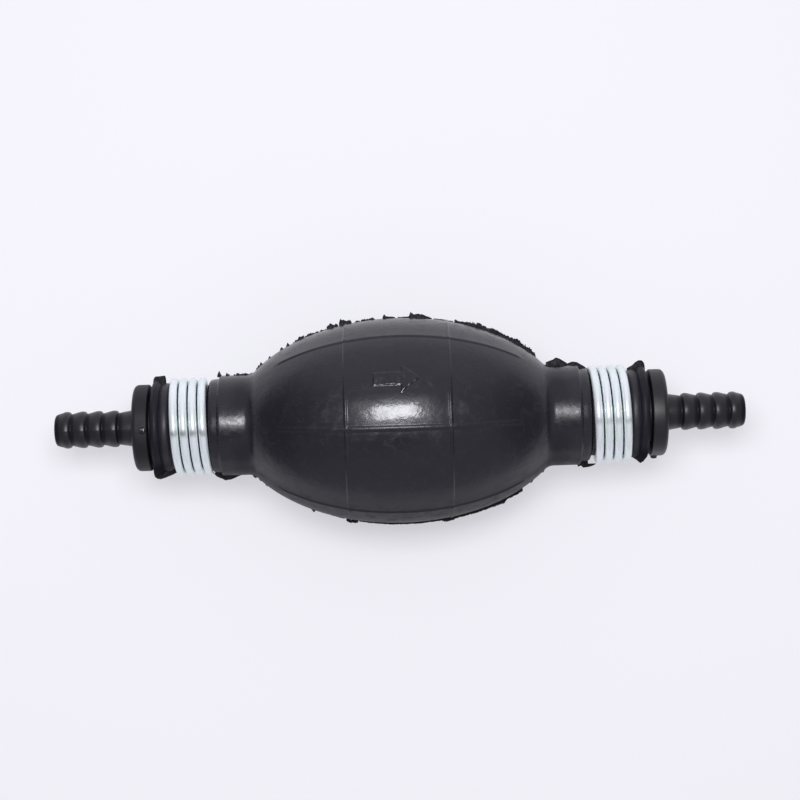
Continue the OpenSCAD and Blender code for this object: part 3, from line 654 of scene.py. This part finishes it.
def wound_wire_tree():
    """A round wire wound into a helix about X, whose two ends run straight for a short lead."""
    tree = bpy.data.node_groups.new("wound_wire", "GeometryNodeTree")
    face = tree.interface
    face.new_socket("Geometry", in_out="INPUT", socket_type="NodeSocketGeometry")
    for kind, names in WIRE_INPUTS.items():
        for name in names:
            face.new_socket(name, in_out="INPUT", socket_type="NodeSocket" + kind)
    face.new_socket("Geometry", in_out="OUTPUT", socket_type="NodeSocketGeometry")
    source = tree.nodes.new("NodeGroupInput").outputs
    wire, coil, pitch, turns, start, begins, lead, count, sides, finish = source[1:11]
    t = Tree(tree)

    def capture(curve, name):
        """The curve, and each point's place along it."""
        node = tree.nodes.new("GeometryNodeCaptureAttribute")
        node.capture_items.new("FLOAT", name)
        t.put(curve, node.inputs[0])
        t.put(t.add("GeometryNodeSplineParameter", out=1), node.inputs[1])
        return node.outputs[0], node.outputs[1]

    line = t.add("GeometryNodeCurvePrimitiveLine", (0, 0, 0), (1, 0, 0))
    resample = t.add("GeometryNodeResampleCurve", line, None, count)
    factor = t.add("GeometryNodeSplineParameter")
    circle = t.times(turns, 2 * math.pi)
    whole = t.times(circle, coil)
    spare = t.math("DIVIDE", lead, whole)
    run = t.plus(factor, t.plus(spare, 2.0, 1.0), t.times(spare, -1.0))
    held = t.math("MINIMUM", t.math("MAXIMUM", run, 0.0), 1.0)
    beyond = t.times(t.math("SUBTRACT", run, held), whole)
    turned = t.plus(held, circle, start)
    sine, cosine = t.math("SINE", turned), t.math("COSINE", turned)
    x = t.math("ADD", begins, t.times(t.times(run, turns), pitch))
    y = t.math("SUBTRACT", t.times(coil, cosine), t.times(beyond, sine))
    z = t.math("ADD", t.times(coil, sine), t.times(beyond, cosine))
    place = t.add("ShaderNodeCombineXYZ", x, y, z)
    helix, along = capture(t.add("GeometryNodeSetPosition", resample, None, place), "along")
    ring = t.add("GeometryNodeCurvePrimitiveCircle", sides, None, None, None, wire)
    ring, around = capture(ring, "around")
    near_end = t.math("MINIMUM", factor, t.math("SUBTRACT", 1.0, factor))
    taper = t.add("ShaderNodeMapRange", near_end, 0.0, TAPER_RUN, TAPER_END, 1.0)
    tube = t.add("GeometryNodeCurveToMesh", helix, ring, taper, True)
    unrolled = t.add("ShaderNodeCombineXYZ", along, around)
    stored = t.node("GeometryNodeStoreNamedAttribute", data_type="FLOAT2", domain="CORNER")
    t.fill(stored, {"Geometry": tube, "Name": "wire_map", "Value": unrolled})
    smooth = t.add("GeometryNodeSetShadeSmooth", stored.outputs[0])
    real = t.add("GeometryNodeRealizeInstances", smooth)
    painted = t.add("GeometryNodeSetMaterial", real, None, finish)
    t.put(painted, tree.nodes.new("NodeGroupOutput").inputs[0])
    return tree


def wound_wire(name, tree, s, values):
    """A plain mesh object of the wire that the tree winds."""
    values = {
        "Wire radius": s.wire_radius, "Coil radius": s.coil_radius, "Turns": s.turns,
        "Lead": 2 * s.wire_radius, **values,
    }
    holder = link(bpy.data.objects.new(name + "_holder", bpy.data.meshes.new(name + "_holder")))
    modifier = holder.modifiers.new("wire", "NODES")
    modifier.node_group = tree
    for socket in tree.interface.items_tree:
        if socket.in_out == "INPUT" and socket.name in values:
            modifier[socket.identifier] = values[socket.name]
    bpy.context.view_layer.update()
    made = holder.evaluated_get(bpy.context.evaluated_depsgraph_get())
    mesh = bpy.data.meshes.new_from_object(made)
    mesh.name = name
    bpy.data.objects.remove(holder)
    if not len(mesh.polygons):
        raise RuntimeError(name + ": the wire came out empty")
    mesh.set_sharp_from_angle(angle=math.radians(40))
    return link(bpy.data.objects.new(name, mesh))


class PUMP_OT_clamps(Operator):
    """Winds the two wire clamps round the necks"""

    bl_idname = "pump.clamps"
    bl_label = "Wire clamps"

    def execute(self, context):
        s = context.scene.pump_clamp
        tree = wound_wire_tree()
        finish = zinc_material(s)
        half = s.turns * s.pitch / 2
        ends = (("inlet", -s.place, s.inlet_start), ("outlet", s.place, s.outlet_start))
        for name, middle, start in ends:
            clamp = wound_wire(name + "_clamp_wire", tree, s, {
                "Pitch": s.pitch, "Start": start, "Begins at": middle - half,
                "Points": 480, "Sides": 28, "Finish": finish,
            })
            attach(clamp, "housing")
            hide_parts(name + "_clamp")
        return {"FINISHED"}


class PUMP_OT_springs(Operator):
    """Winds the two valve springs"""

    bl_idname = "pump.springs"
    bl_label = "Valve springs"

    def execute(self, context):
        s = context.scene.pump_valve
        tree = wound_wire_tree()
        finish = steel_material(s)
        for name in ("inlet", "outlet"):
            low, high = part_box(name + "_valve_spring")
            start, end = low.x + s.wire_radius, high.x - s.wire_radius
            spring = wound_wire(name + "_spring_wire", tree, s, {
                "Pitch": (end - start) / s.turns, "Start": 0.0, "Begins at": start,
                "Points": 300, "Sides": 12, "Finish": finish,
            })
            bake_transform(spring)
            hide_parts(name + "_valve_spring")
        return {"FINISHED"}


# --- Hose barbs ---


# The barb's hidden side
SPIGOT_RADIUS = 0.00795
GRIP_RISE = 0.00056
POCKET_RADIUS = 0.006
POCKET_END = BULB_END - 0.0033
PASSAGE_RADIUS = 0.0025
# The moulding seam: its height, half its width, and from which radius outwards it shows
SEAM_RISE, SEAM_HALF, SEAM_RADIUS = 0.00005, 0.00006, 0.0039
# A tooth's outline, as shares of its pitch and of its height
TOOTH = [
    (-0.02, 0.0), (0.01, 0.1), (0.03, 0.36), (0.06, 0.62), (0.1, 0.8), (0.15, 0.92), (0.22, 0.99),
    (0.3, 1.0), (0.38, 0.95), (0.48, 0.81), (0.6, 0.6), (0.72, 0.39), (0.84, 0.18), (0.94, 0.01),
]
# The gate stub: places round it, radius of its torn middle, and its levels as (rise over the
# flange's rim, share of its radius)
GATE_COUNT, GATE_TEAR = 18, 0.00022
GATE_LEVELS = ((-0.0012, 0.95), (0.00015, 0.95), (0.0004, 0.86), (0.00062, 0.8), (0.0007, 0.5))


def barb_profile(s):
    """The closed line (x, r) of the outlet barb's section, in metres, from the spigot's mouth."""
    start, tip = SPIGOT_START, BARB_TIP
    flange = BULB_END + FLANGE_GAP
    face = flange + s.flange_width
    tooth = face + s.plain
    pitch = (tip - tooth) / s.teeth
    rim, edge, stem, root = s.flange_radius, s.flange_round, s.stem_radius, s.root_radius
    spigot, grip, ridge_top = SPIGOT_RADIUS, start + 0.0018, SPIGOT_RADIUS + GRIP_RISE
    line = [(start, 0.0072), (start, 0.0075)]
    line += [(start + 0.0004 * k, spigot - 0.00035 * (1 - k) ** 2) for k in (0.15, 0.45, 1.0)]
    line += [(grip - 0.0006, spigot), (grip, ridge_top), (grip + 0.0013, ridge_top),
             (grip + 0.0019, spigot), (flange - 0.0003, spigot)]
    line += arc((flange - 0.0002, spigot + 0.0002), 0.0002, 270, 359, 4)
    line += arc((flange + 0.0004, rim - 0.0004), 0.0004, 180, 92, 6)
    line += arc((face - edge, rim - edge), edge, 90, 6, 16)
    line += [(face, stem + 0.0022), (face, stem + 0.0006)]
    line += arc((face + 0.0005, stem + 0.0005), 0.0005, 180, 268, 6)
    line += [(face + 0.0012, stem - 0.00003), (tooth - 0.0011, root + 0.00018),
             (tooth - 0.0006, root + 0.00008), (tooth - 0.0003, root)]
    rise = s.crest_radius - root
    for i in range(s.teeth):
        shown = TOOTH[:9] if i == s.teeth - 1 else TOOTH
        line += [(tooth + (i + along) * pitch, root + height * rise) for along, height in shown]
    line += [(tip - 0.0018, root + 0.00034), (tip - 0.0012, root + 0.0002)]
    line += arc((tip - 0.0009, root - 0.00086), 0.0009, 82, 12, 8)
    line += arc((tip - 0.0003, PASSAGE_RADIUS + 0.0003), 0.0003, 5, -80, 4)
    passage = (tip - 0.002, face, BULB_END + 0.0002, POCKET_END + 0.0028)
    line += [(x, PASSAGE_RADIUS) for x in passage]
    line += [(POCKET_END + 0.0001, 0.0052), (POCKET_END, 0.0059)]
    pocket = (POCKET_END - 0.0002, start + 0.004, start + 0.0004)
    line += [(x, POCKET_RADIUS) for x in pocket]
    return line + [(start + 0.00005, 0.0062)]


def gate_stub(s):
    """Points and faces of the snipped gate on the flange's rim, for the outlet barb."""
    rng = np.random.default_rng(3)
    middle = BULB_END + 0.0018
    turns = [2 * math.pi * k / GATE_COUNT for k in range(GATE_COUNT)]
    points = []
    for rise, size in GATE_LEVELS:
        depth = s.flange_radius + rise
        for t in turns:
            r = s.gate_radius * size * (1 + 0.12 * (rng.random() - 0.5))
            dent = 0.00012 * (rng.random() - 0.5) * (size < 0.9)
            points.append((middle + r * math.cos(t), -depth - dent, r * math.sin(t)))
    for t in turns:
        torn = -depth - GATE_TEAR * (rng.random() - 0.6)
        points.append((middle + GATE_TEAR * math.cos(t), torn, GATE_TEAR * math.sin(t)))
    points.append((middle, -depth + 0.00006, 0.0))
    faces = grid_faces(len(GATE_LEVELS) + 1, GATE_COUNT, False, True)
    centre = len(points) - 1
    last = centre - GATE_COUNT
    faces += [tuple(range(GATE_COUNT))]
    faces += [(last + (k + 1) % GATE_COUNT, last + k, centre) for k in range(GATE_COUNT)]
    return points, faces


class PUMP_OT_barbs(Operator):
    """Turns the two hose barbs, with their flanges, spigots and gate stubs"""

    bl_idname = "pump.barbs"
    bl_label = "Hose barbs"

    def execute(self, context):
        s = context.scene.pump_barb
        material = nylon_material(s)
        body_points, body_faces = lathe(barb_profile(s), 120)
        side, up = body_points[:, 1], body_points[:, 2]
        seam = (np.abs(up) < SEAM_HALF) & (np.hypot(side, up) > SEAM_RADIUS)
        side += np.sign(side) * np.where(seam, SEAM_RISE, 0.0)
        stub_points, stub_faces = gate_stub(s)
        shift = len(body_points)
        points = np.concatenate([body_points, np.array(stub_points)])
        faces = body_faces + [tuple(k + shift for k in f) for f in stub_faces]
        turns = {
            "outlet": Matrix.Identity(3),
            "inlet": Matrix.Rotation(math.pi, 3, "Z") @ Matrix.Rotation(-math.pi / 2, 3, "X"),
        }
        for name, turn in turns.items():
            placed = points @ np.array(turn).T
            barb = mesh_object(name + "_hose_barb", placed, faces, material)
            bm = bmesh.new()
            bm.from_mesh(barb.data)
            bmesh.ops.recalc_face_normals(bm, faces=bm.faces)
            bm.to_mesh(barb.data)
            bm.free()
            barb.data.set_sharp_from_angle(angle=math.radians(38))
            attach(barb, "housing")
            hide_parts(name + "_barb")
        return {"FINISHED"}


# --- Materials ---


# Where the rubber's finish changes, in metres from the middle and radians from the top
PANEL_X, PANEL_TURN = (-0.0119, 0.0112), (0.05, 0.36)
FLANK_TURN = (-1.05, -0.6)
HOLLOW_X, HOLLOW_TURN = (0.034, 0.041), (0.15, 0.5)
NECK_END_X, BEAD_X = (0.0555, 0.0588), (0.0583, 0.0595)
# The clamps' dark mark, a painted reflection of the camera: its band round the coil, and its colour
CAMERA_REFLECTION_TURN, CAMERA_REFLECTION_COLOUR = (-0.14, -0.02), (0.34, 0.36, 0.35)


def scaled(tint, by):
    """A colour with its brightness, or each of its parts, scaled."""
    return tuple(float(c) for c in np.array(tint) * by)


class Finish(Tree):
    """The nodes of a new material, round its Principled shader and its Object coordinates."""

    def __init__(self, name):
        self.material = bpy.data.materials.new(name)
        self.material.use_nodes = True
        super().__init__(self.material.node_tree)
        self.shader = self.tree.nodes["Principled BSDF"]
        self.place = self.add("ShaderNodeTexCoord", out=3)

    def shade(self, **values):
        """Sets the shader's inputs, with _ for a space in their names."""
        self.fill(self.shader, {name.replace("_", " "): value for name, value in values.items()})

    def noise(self, scale, detail=2.0, roughness=0.5, distortion=0.0, place=None):
        node = self.node("ShaderNodeTexNoise", place or self.place)
        values = {"Scale": scale, "Detail": detail, "Roughness": roughness, "Distortion": distortion}
        return self.fill(node, values).outputs[0]

    def stretched(self, place, scales, *more):
        """Noise with its own scale along each axis."""
        return self.noise(1.0, *more, place=self.add("ShaderNodeMapping", place, None, None, scales))

    def drawn(self, along, around, *more):
        """Noise that follows a wound wire."""
        unrolled = self.add("ShaderNodeAttribute", attribute_name="wire_map", out=1)
        return self.stretched(unrolled, (along, around, 1.0), *more)

    def band(self, value, low, high, edge):
        """1 between low and high, fading over edge on both sides."""
        rise = self.ramp(value, low - edge, low + edge)
        return self.times(rise, self.ramp(value, high - edge, high + edge, 1.0, 0.0))

    def from_axis(self, y, z):
        """The distance from the X axis."""
        return self.math("SQRT", self.plus(y, y, self.times(z, z)))

    def mix(self, share_of_b, a, b):
        """A colour between two colours."""
        node = self.node("ShaderNodeMix", share_of_b, data_type="RGBA")
        for socket, value in zip(node.inputs[6:8], (a, b)):
            self.put(value if isinstance(value, bpy.types.NodeSocket) else (*value, 1.0), socket)
        return node.outputs[2]

    def bumps(self, *layers):
        """Chained bumps, each (height, strength, distance)."""
        normal = None
        for height, strength, distance in layers:
            values = {"Strength": strength, "Distance": distance, "Height": height, "Normal": normal}
            normal = self.fill(self.node("ShaderNodeBump"), values).outputs[0]
        self.shade(Normal=normal, Coat_Normal=normal)


def rubber_material(s):
    """Moulded rubber: satin, with dust, bloom, fine grain and a handled, glossier panel."""
    t = Finish("bulb_rubber")
    x, y, z = t.xyz(t.place)
    turn = t.math("ARCTAN2", y, z)
    from_middle, aside = t.math("ABSOLUTE", x), t.math("ABSOLUTE", turn)
    panel = t.times(t.band(x, *PANEL_X, 0.0006), t.band(turn, *PANEL_TURN, 0.035))
    flank = t.ramp(turn, *FLANK_TURN, 1.0, 0.0)
    ends = t.ramp(from_middle, *NECK_END_X)
    bead = t.ramp(from_middle, *BEAD_X)
    hollow = t.times(t.band(from_middle, *HOLLOW_X, 0.002), t.ramp(aside, *HOLLOW_TURN))
    clouds = t.noise(70.0, 4.0, 0.6)
    dents = t.noise(210.0, 3.0, 0.55, 0.4)
    patches = t.noise(420.0, 5.0, 0.65, 0.6)
    grain = t.noise(2600.0, 2.0, 0.6)
    peel = t.noise(900.0, 3.0, 0.5)
    specks = t.fill(t.node("ShaderNodeTexVoronoi", t.place), {"Scale": 900.0}).outputs["Distance"]
    dust = t.times(t.ramp(specks, 0.07, 0.16, 1.0, 0.0), t.ramp(t.noise(300.0), 0.5, 0.6))
    worn = t.ramp(patches, 0.45, 0.75)
    base = t.mix(t.times(worn, 0.08), s.rubber, s.bloom)
    base = t.mix(t.times(t.ramp(clouds, 0.4, 0.75), 0.06), base, s.bloom)
    base = t.mix(t.times(dust, 0.5), base, s.bloom)
    rough = t.plus(dust, 0.25, t.plus(worn, 0.16, s.gloss))
    haze = t.plus(clouds, 0.16, s.haze - 0.08)
    rough = t.math("ADD", rough, t.times(panel, t.math("SUBTRACT", haze, rough)))
    rough = t.plus(ends, 0.28, t.plus(flank, 0.3, rough))
    specular = 0.53
    for mask, less in ((panel, -0.3), (flank, -0.2), (hollow, -0.15), (bead, -0.3)):
        specular = t.plus(mask, less, specular)
    shine = t.times(t.plus(dust, -0.8, 1.0), t.ramp(patches, 0.35, 0.7, s.shine, s.shine * 0.65))
    t.shade(
        Base_Color=base, Roughness=t.math("MAXIMUM", rough, 0.08), Specular_IOR_Level=specular,
        Coat_Weight=t.times(panel, shine), Coat_Roughness=0.12, Coat_IOR=1.4,
    )
    t.bumps((dents, 0.45, 0.00022), (peel, 0.25, 0.00005),
          (grain, 0.2, 0.00002), (patches, 0.2, 0.00008))
    return t.material


def flash_material(s):
    """Torn rubber: matt and rougher than the moulded skin, with its colour darkened as painted shade.
    """
    t = Finish("torn_rubber")
    crumbs = t.noise(1500.0, 4.0, 0.7)
    # Painted shade: the rubber's own colour darkened to stand for the shadow on the thin flash
    deep_painted_shade, light_painted_shade = scaled(s.rubber, 0.35), scaled(s.rubber, 0.9)
    t.shade(
        Base_Color=t.mix(t.ramp(crumbs, 0.4, 0.7), deep_painted_shade, light_painted_shade),
        Roughness=t.ramp(crumbs, 0.35, 0.7, 0.7, 0.4), Specular_IOR_Level=0.25,
    )
    t.bumps((crumbs, 0.8, 0.00015))
    return t.material


def zinc_material(s):
    """Bright zinc plating on drawn wire: bluish, satin, with drawing lines along it."""
    t = Finish("zinc_wire")
    lines, bands = t.drawn(60.0, 9000.0, 3.0, 0.6), t.drawn(160.0, 500.0, 2.0)
    clouds = t.noise(450.0, 4.0, 0.6)
    green, dull = scaled(s.zinc, (0.95, 1.0, 0.95)), scaled(s.zinc, (0.8, 0.82, 0.84))
    base = t.mix(t.ramp(t.noise(160.0), 0.4, 0.65), s.zinc, green)
    base = t.mix(t.times(t.ramp(bands, 0.5, 0.75), 0.35), base, dull)
    base = t.mix(t.times(t.ramp(clouds, 0.55, 0.75), 0.35), base, dull)
    x, y, z = t.xyz(t.place)
    outside = t.ramp(t.from_axis(y, z), s.coil_radius + 0.0004, s.coil_radius + 0.00085)
    # Painted reflection: a dark band just below the top of each turn, where the wire would mirror the
    # camera, mixed into the base colour
    painted_reflection = t.times(t.band(t.math("ARCTAN2", y, z), *CAMERA_REFLECTION_TURN, 0.055), outside)
    painted_reflection = t.times(painted_reflection, t.ramp(x, -0.05, 0.05, 1.0, 0.55))
    painted_reflection = t.times(painted_reflection, t.ramp(t.noise(600.0, 3.0, 0.6), 0.35, 0.6, 0.4, 1.0))
    t.shade(
        Base_Color=t.mix(painted_reflection, base, CAMERA_REFLECTION_COLOUR), Metallic=0.38,
        Roughness=t.plus(t.ramp(lines, 0.3, 0.7), 0.1, s.gloss - 0.05),
    )
    t.bumps((lines, 0.2, 0.00003), (clouds, 0.12, 0.00005))
    return t.material


def nylon_material(s):
    """Black nylon: soft gloss, faint flow marks and fine scratches."""
    t = Finish("black_nylon")
    flow = t.stretched(t.place, (60.0, 260.0, 260.0), 4.0, 0.6, 0.8)
    scuffs = t.noise(900.0, 5.0, 0.7)
    grain = t.noise(3200.0)
    x, y, z = t.xyz(t.place)
    face = BULB_END + FLANGE_GAP + s.flange_width
    flange = t.ramp(t.math("ABSOLUTE", x), face - 0.0008, face + 0.0004, 1.0, 0.0)
    inlet = t.ramp(x, -0.01, 0.01, 1.0, 0.0)
    radius = t.from_axis(y, z)
    root = t.ramp(radius, s.root_radius + 0.00007, s.root_radius + 0.00032, 1.0, 0.0)
    cut = t.ramp(radius, s.flange_radius + 0.00006, s.flange_radius + 0.00016)
    worn = t.times(t.ramp(scuffs, 0.5, 0.72), 0.5)
    rough = t.plus(t.ramp(flow, 0.3, 0.7), 0.1, s.gloss - 0.04)
    rough = t.plus(t.ramp(scuffs, 0.55, 0.75), 0.15, rough)
    rough = t.plus(flange, t.plus(inlet, 0.12, 0.08), rough)
    specular = t.plus(cut, 0.3, t.plus(t.times(flange, inlet), -0.14, 0.5))
    t.shade(
        Base_Color=t.mix(worn, s.nylon, scaled(s.nylon, 2.2)), Roughness=t.plus(cut, -0.3, rough),
        Specular_IOR_Level=t.plus(root, -0.35, specular),
    )
    t.bumps((flow, 0.2, 0.00012), (grain, 0.15, 0.00002), (scuffs, 0.25, 0.00006))
    return t.material


def acetal_material(s):
    """Natural acetal: off-white, softly glossy, with faint mould flow."""
    t = Finish("valve_nylon")
    clouds = t.ramp(t.noise(350.0, 4.0, 0.6), 0.3, 0.7)
    base = t.mix(clouds, s.acetal, scaled(s.acetal, 0.93))
    t.shade(Base_Color=base, Roughness=t.plus(clouds, 0.12, 0.3))
    t.bumps((t.noise(3000.0), 0.12, 0.00002))
    return t.material


def seal_material(s):
    """Brown seal rubber: matt, with a fine skin."""
    t = Finish("seal_rubber")
    clouds = t.ramp(t.noise(500.0, 4.0, 0.6), 0.3, 0.7)
    grain = t.noise(3500.0)
    base = t.mix(clouds, s.seal, scaled(s.seal, 0.75))
    t.shade(Base_Color=base, Roughness=t.plus(t.ramp(grain, 0.3, 0.7), 0.15, 0.45))
    t.bumps((grain, 0.3, 0.00003))
    return t.material


def steel_material(s):
    """Drawn stainless wire."""
    t = Finish("spring_steel")
    lines = t.drawn(80.0, 14000.0, 3.0, 0.6)
    base = t.mix(t.ramp(lines, 0.35, 0.7), s.steel, scaled(s.steel, 0.8))
    t.shade(Base_Color=base, Metallic=1.0, Roughness=t.plus(t.ramp(lines, 0.3, 0.7), 0.12, 0.22))
    t.bumps((lines, 0.15, 0.00002))
    return t.material


class PUMP_OT_valves(Operator):
    """Gives the valves' seats, cages, poppets, seals and O-rings their finishes"""

    bl_idname = "pump.valves"
    bl_label = "Valve finishes"

    def execute(self, context):
        s = context.scene.pump_valve
        acetal, seal = acetal_material(s), seal_material(s)
        for end in ("inlet", "outlet"):
            for part, material, slot in (
                ("valve_seat", acetal, "valve_nylon"),
                ("valve_cage", acetal, "valve_nylon"),
                ("poppet", acetal, "valve_nylon"),
                ("poppet_seal", seal, "seal_rubber"),
                ("o_ring", seal, "seal_rubber"),
            ):
                node = NODES[f"{end}_{part}"]
                node.data.materials.clear()
                node.data.materials.append(material)
        return {"FINISHED"}


# --- Stage ---


FLOOR_HALF, FLOOR_WHITE = 3.0, (0.93, 0.922, 0.965)
# How far the lamps lean from straight overhead, towards +X and towards +Y, in degrees
LAMP_LEAN, LAMP_COLOUR = (-1.5, 12.3), (0.98, 0.985, 1.03)
# Each lamp's name, the setting with its power, its two sides and its distance
LAMPS = (("main_lamp", "lamp", (0.18, 0.112), 0.49), ("wide_lamp", "veil", (0.34, 0.3), 0.6))
SKY_COLOUR = (1.0, 0.985, 1.07)
# Darker places overhead, as seen from straight below: middle, scale along x, where the
# shade is full and where it ends, and what light is left
SHADES = (
    ((-0.3, -0.34, 0.0), 0.8, 0.12, 0.36, 0.72),
    ((0.0, -0.325, 0.0), 0.35, 0.04, 0.085, 0.08),
)


def area_lamp(name, power, size, distance):
    """A faintly blue lamp over the object, leaning towards +Y, that faces the origin."""
    data = bpy.data.lights.new(name, "AREA")
    data.shape = "RECTANGLE"
    data.size, data.size_y = size
    data.energy = power
    data.color = LAMP_COLOUR
    lamp = link(bpy.data.objects.new(name, data))
    side, back = (math.tan(math.radians(lean)) for lean in LAMP_LEAN)
    away = Vector((side, back, 1.0)).normalized()
    lamp.location = away * distance
    lamp.rotation_euler = away.to_track_quat("Z", "Y").to_euler()


def paper_material(s):
    """The pale floor: paper that takes the shadows, partly self-lit for the rays that look at it."""
    t = Finish("floor")
    paper = t.noise(900.0, 3.0)
    base = t.mix(paper, s.floor, scaled(s.floor, 0.995))
    t.shade(Base_Color=base, Roughness=0.9, Specular_IOR_Level=0.1)
    paths = t.node("ShaderNodeLightPath").outputs
    looked_at = t.math("MAXIMUM", paths["Is Camera Ray"], paths["Is Glossy Ray"])
    looked_at = t.math("MAXIMUM", looked_at, paths["Is Transmission Ray"])
    white = t.add("ShaderNodeEmission", (*FLOOR_WHITE, 1.0), 1.0)
    share_lit = t.times(looked_at, s.self_lit)
    mixed = t.add("ShaderNodeMixShader", share_lit, t.shader.outputs[0], white)
    t.put(mixed, t.tree.nodes["Material Output"].inputs[0])
    return t.material


def tent_world(s):
    """A pale sky that is brighter low down behind and darker low down at the ends and in SHADES."""
    world = bpy.data.worlds.new("tent")
    world.use_nodes = True
    w = Tree(world.node_tree)
    towards = w.add("ShaderNodeTexCoord", out=0)
    x, y, _ = w.xyz(towards)
    glow = w.math("ADD", w.ramp(y, 0.35, 0.95, 0.0, s.back_glow), 1.0)
    glow = w.times(glow, w.ramp(x, 0.6, 0.95, 1.0, s.outlet_shade))
    glow = w.times(glow, w.ramp(x, -0.95, -0.4, s.inlet_shade, 1.0))
    for centre, squeeze, core, edge, left in SHADES:
        aside = w.add("ShaderNodeVectorMath", towards, centre, operation="SUBTRACT")
        aside = w.add("ShaderNodeVectorMath", aside, (squeeze, 1.0, 0.0), operation="MULTIPLY")
        away = w.add("ShaderNodeVectorMath", aside, operation="LENGTH", out=1)
        glow = w.times(glow, w.ramp(away, core, edge, left, 1.0))
    background = world.node_tree.nodes["Background"]
    w.fill(background, {"Color": (*SKY_COLOUR, 1.0), "Strength": w.times(glow, s.sky)})
    return world


def overhead_camera(s):
    """A camera over the object, tilted towards +Y and rolled, that aims just behind the origin."""
    data = bpy.data.cameras.new("camera")
    data.lens, data.sensor_width = 90.0, 36.0
    camera = link(bpy.data.objects.new("camera", data))
    back = Vector((0.0, math.sin(s.tilt), math.cos(s.tilt)))
    right = Vector((math.cos(s.roll), -math.sin(s.roll), 0.0))
    up = back.cross(right).normalized()
    right = up.cross(back)
    target = Vector((math.sin(s.roll), math.cos(s.roll), 0.0)) * s.aim
    turn = Matrix((right, up, back)).transposed().to_4x4()
    camera.matrix_world = Matrix.Translation(target + back * s.distance) @ turn
    return camera


class PUMP_OT_stage(Operator):
    """Sets up the floor, the lamps, the world and the camera"""

    bl_idname = "pump.stage"
    bl_label = "Stage"

    def execute(self, context):
        s = context.scene.pump_stage
        scene = context.scene
        corners = ((-1, -1), (1, -1), (1, 1), (-1, 1))
        points = [(x * FLOOR_HALF, y * FLOOR_HALF, REST_HEIGHT) for x, y in corners]
        mesh_object("floor", points, [(0, 1, 2, 3)], paper_material(s))
        for name, setting, size, distance in LAMPS:
            area_lamp(name, getattr(s, setting), size, distance)
        scene.world = tent_world(s)
        scene.view_settings.view_transform = "Standard"
        scene.camera = overhead_camera(s)
        return {"FINISHED"}


class PUMP_PT_panel(Panel):
    """Lists the pump's sizes, colours and pieces"""

    bl_label = "Siphon bulb pump"
    bl_idname = "PUMP_PT_panel"
    bl_space_type = "VIEW_3D"
    bl_region_type = "UI"
    bl_category = "Pump"

    def draw(self, context):
        for group, (_, *operators) in SECTIONS.items():
            box = self.layout.box()
            settings = getattr(context.scene, group)
            for key in settings.__annotations__:
                box.prop(settings, key)
            for operator in operators:
                box.operator(operator.bl_idname)


# Each group of settings with its operators
SECTIONS = {
    "pump_bulb": (BulbSettings, PUMP_OT_bulb),
    "pump_flash": (FlashSettings, PUMP_OT_flash),
    "pump_clamp": (ClampSettings, PUMP_OT_clamps),
    "pump_barb": (BarbSettings, PUMP_OT_barbs),
    "pump_valve": (ValveSettings, PUMP_OT_springs, PUMP_OT_valves),
    "pump_stage": (StageSettings, PUMP_OT_stage),
}
CLASSES = [cls for section in SECTIONS.values() for cls in section] + [PUMP_PT_panel]


def register():
    for cls in CLASSES:
        bpy.utils.register_class(cls)
    for group, (settings, *_) in SECTIONS.items():
        setattr(bpy.types.Scene, group, PointerProperty(type=settings))


def unregister():
    for group in SECTIONS:
        delattr(bpy.types.Scene, group)
    for cls in reversed(CLASSES):
        bpy.utils.unregister_class(cls)


def main():
    register()
    bpy.ops.pump.bulb()
    bpy.ops.pump.flash()
    bpy.ops.pump.clamps()
    bpy.ops.pump.barbs()
    bpy.ops.pump.springs()
    bpy.ops.pump.valves()
    bpy.ops.pump.stage()


if __name__ == "__main__":
    main()
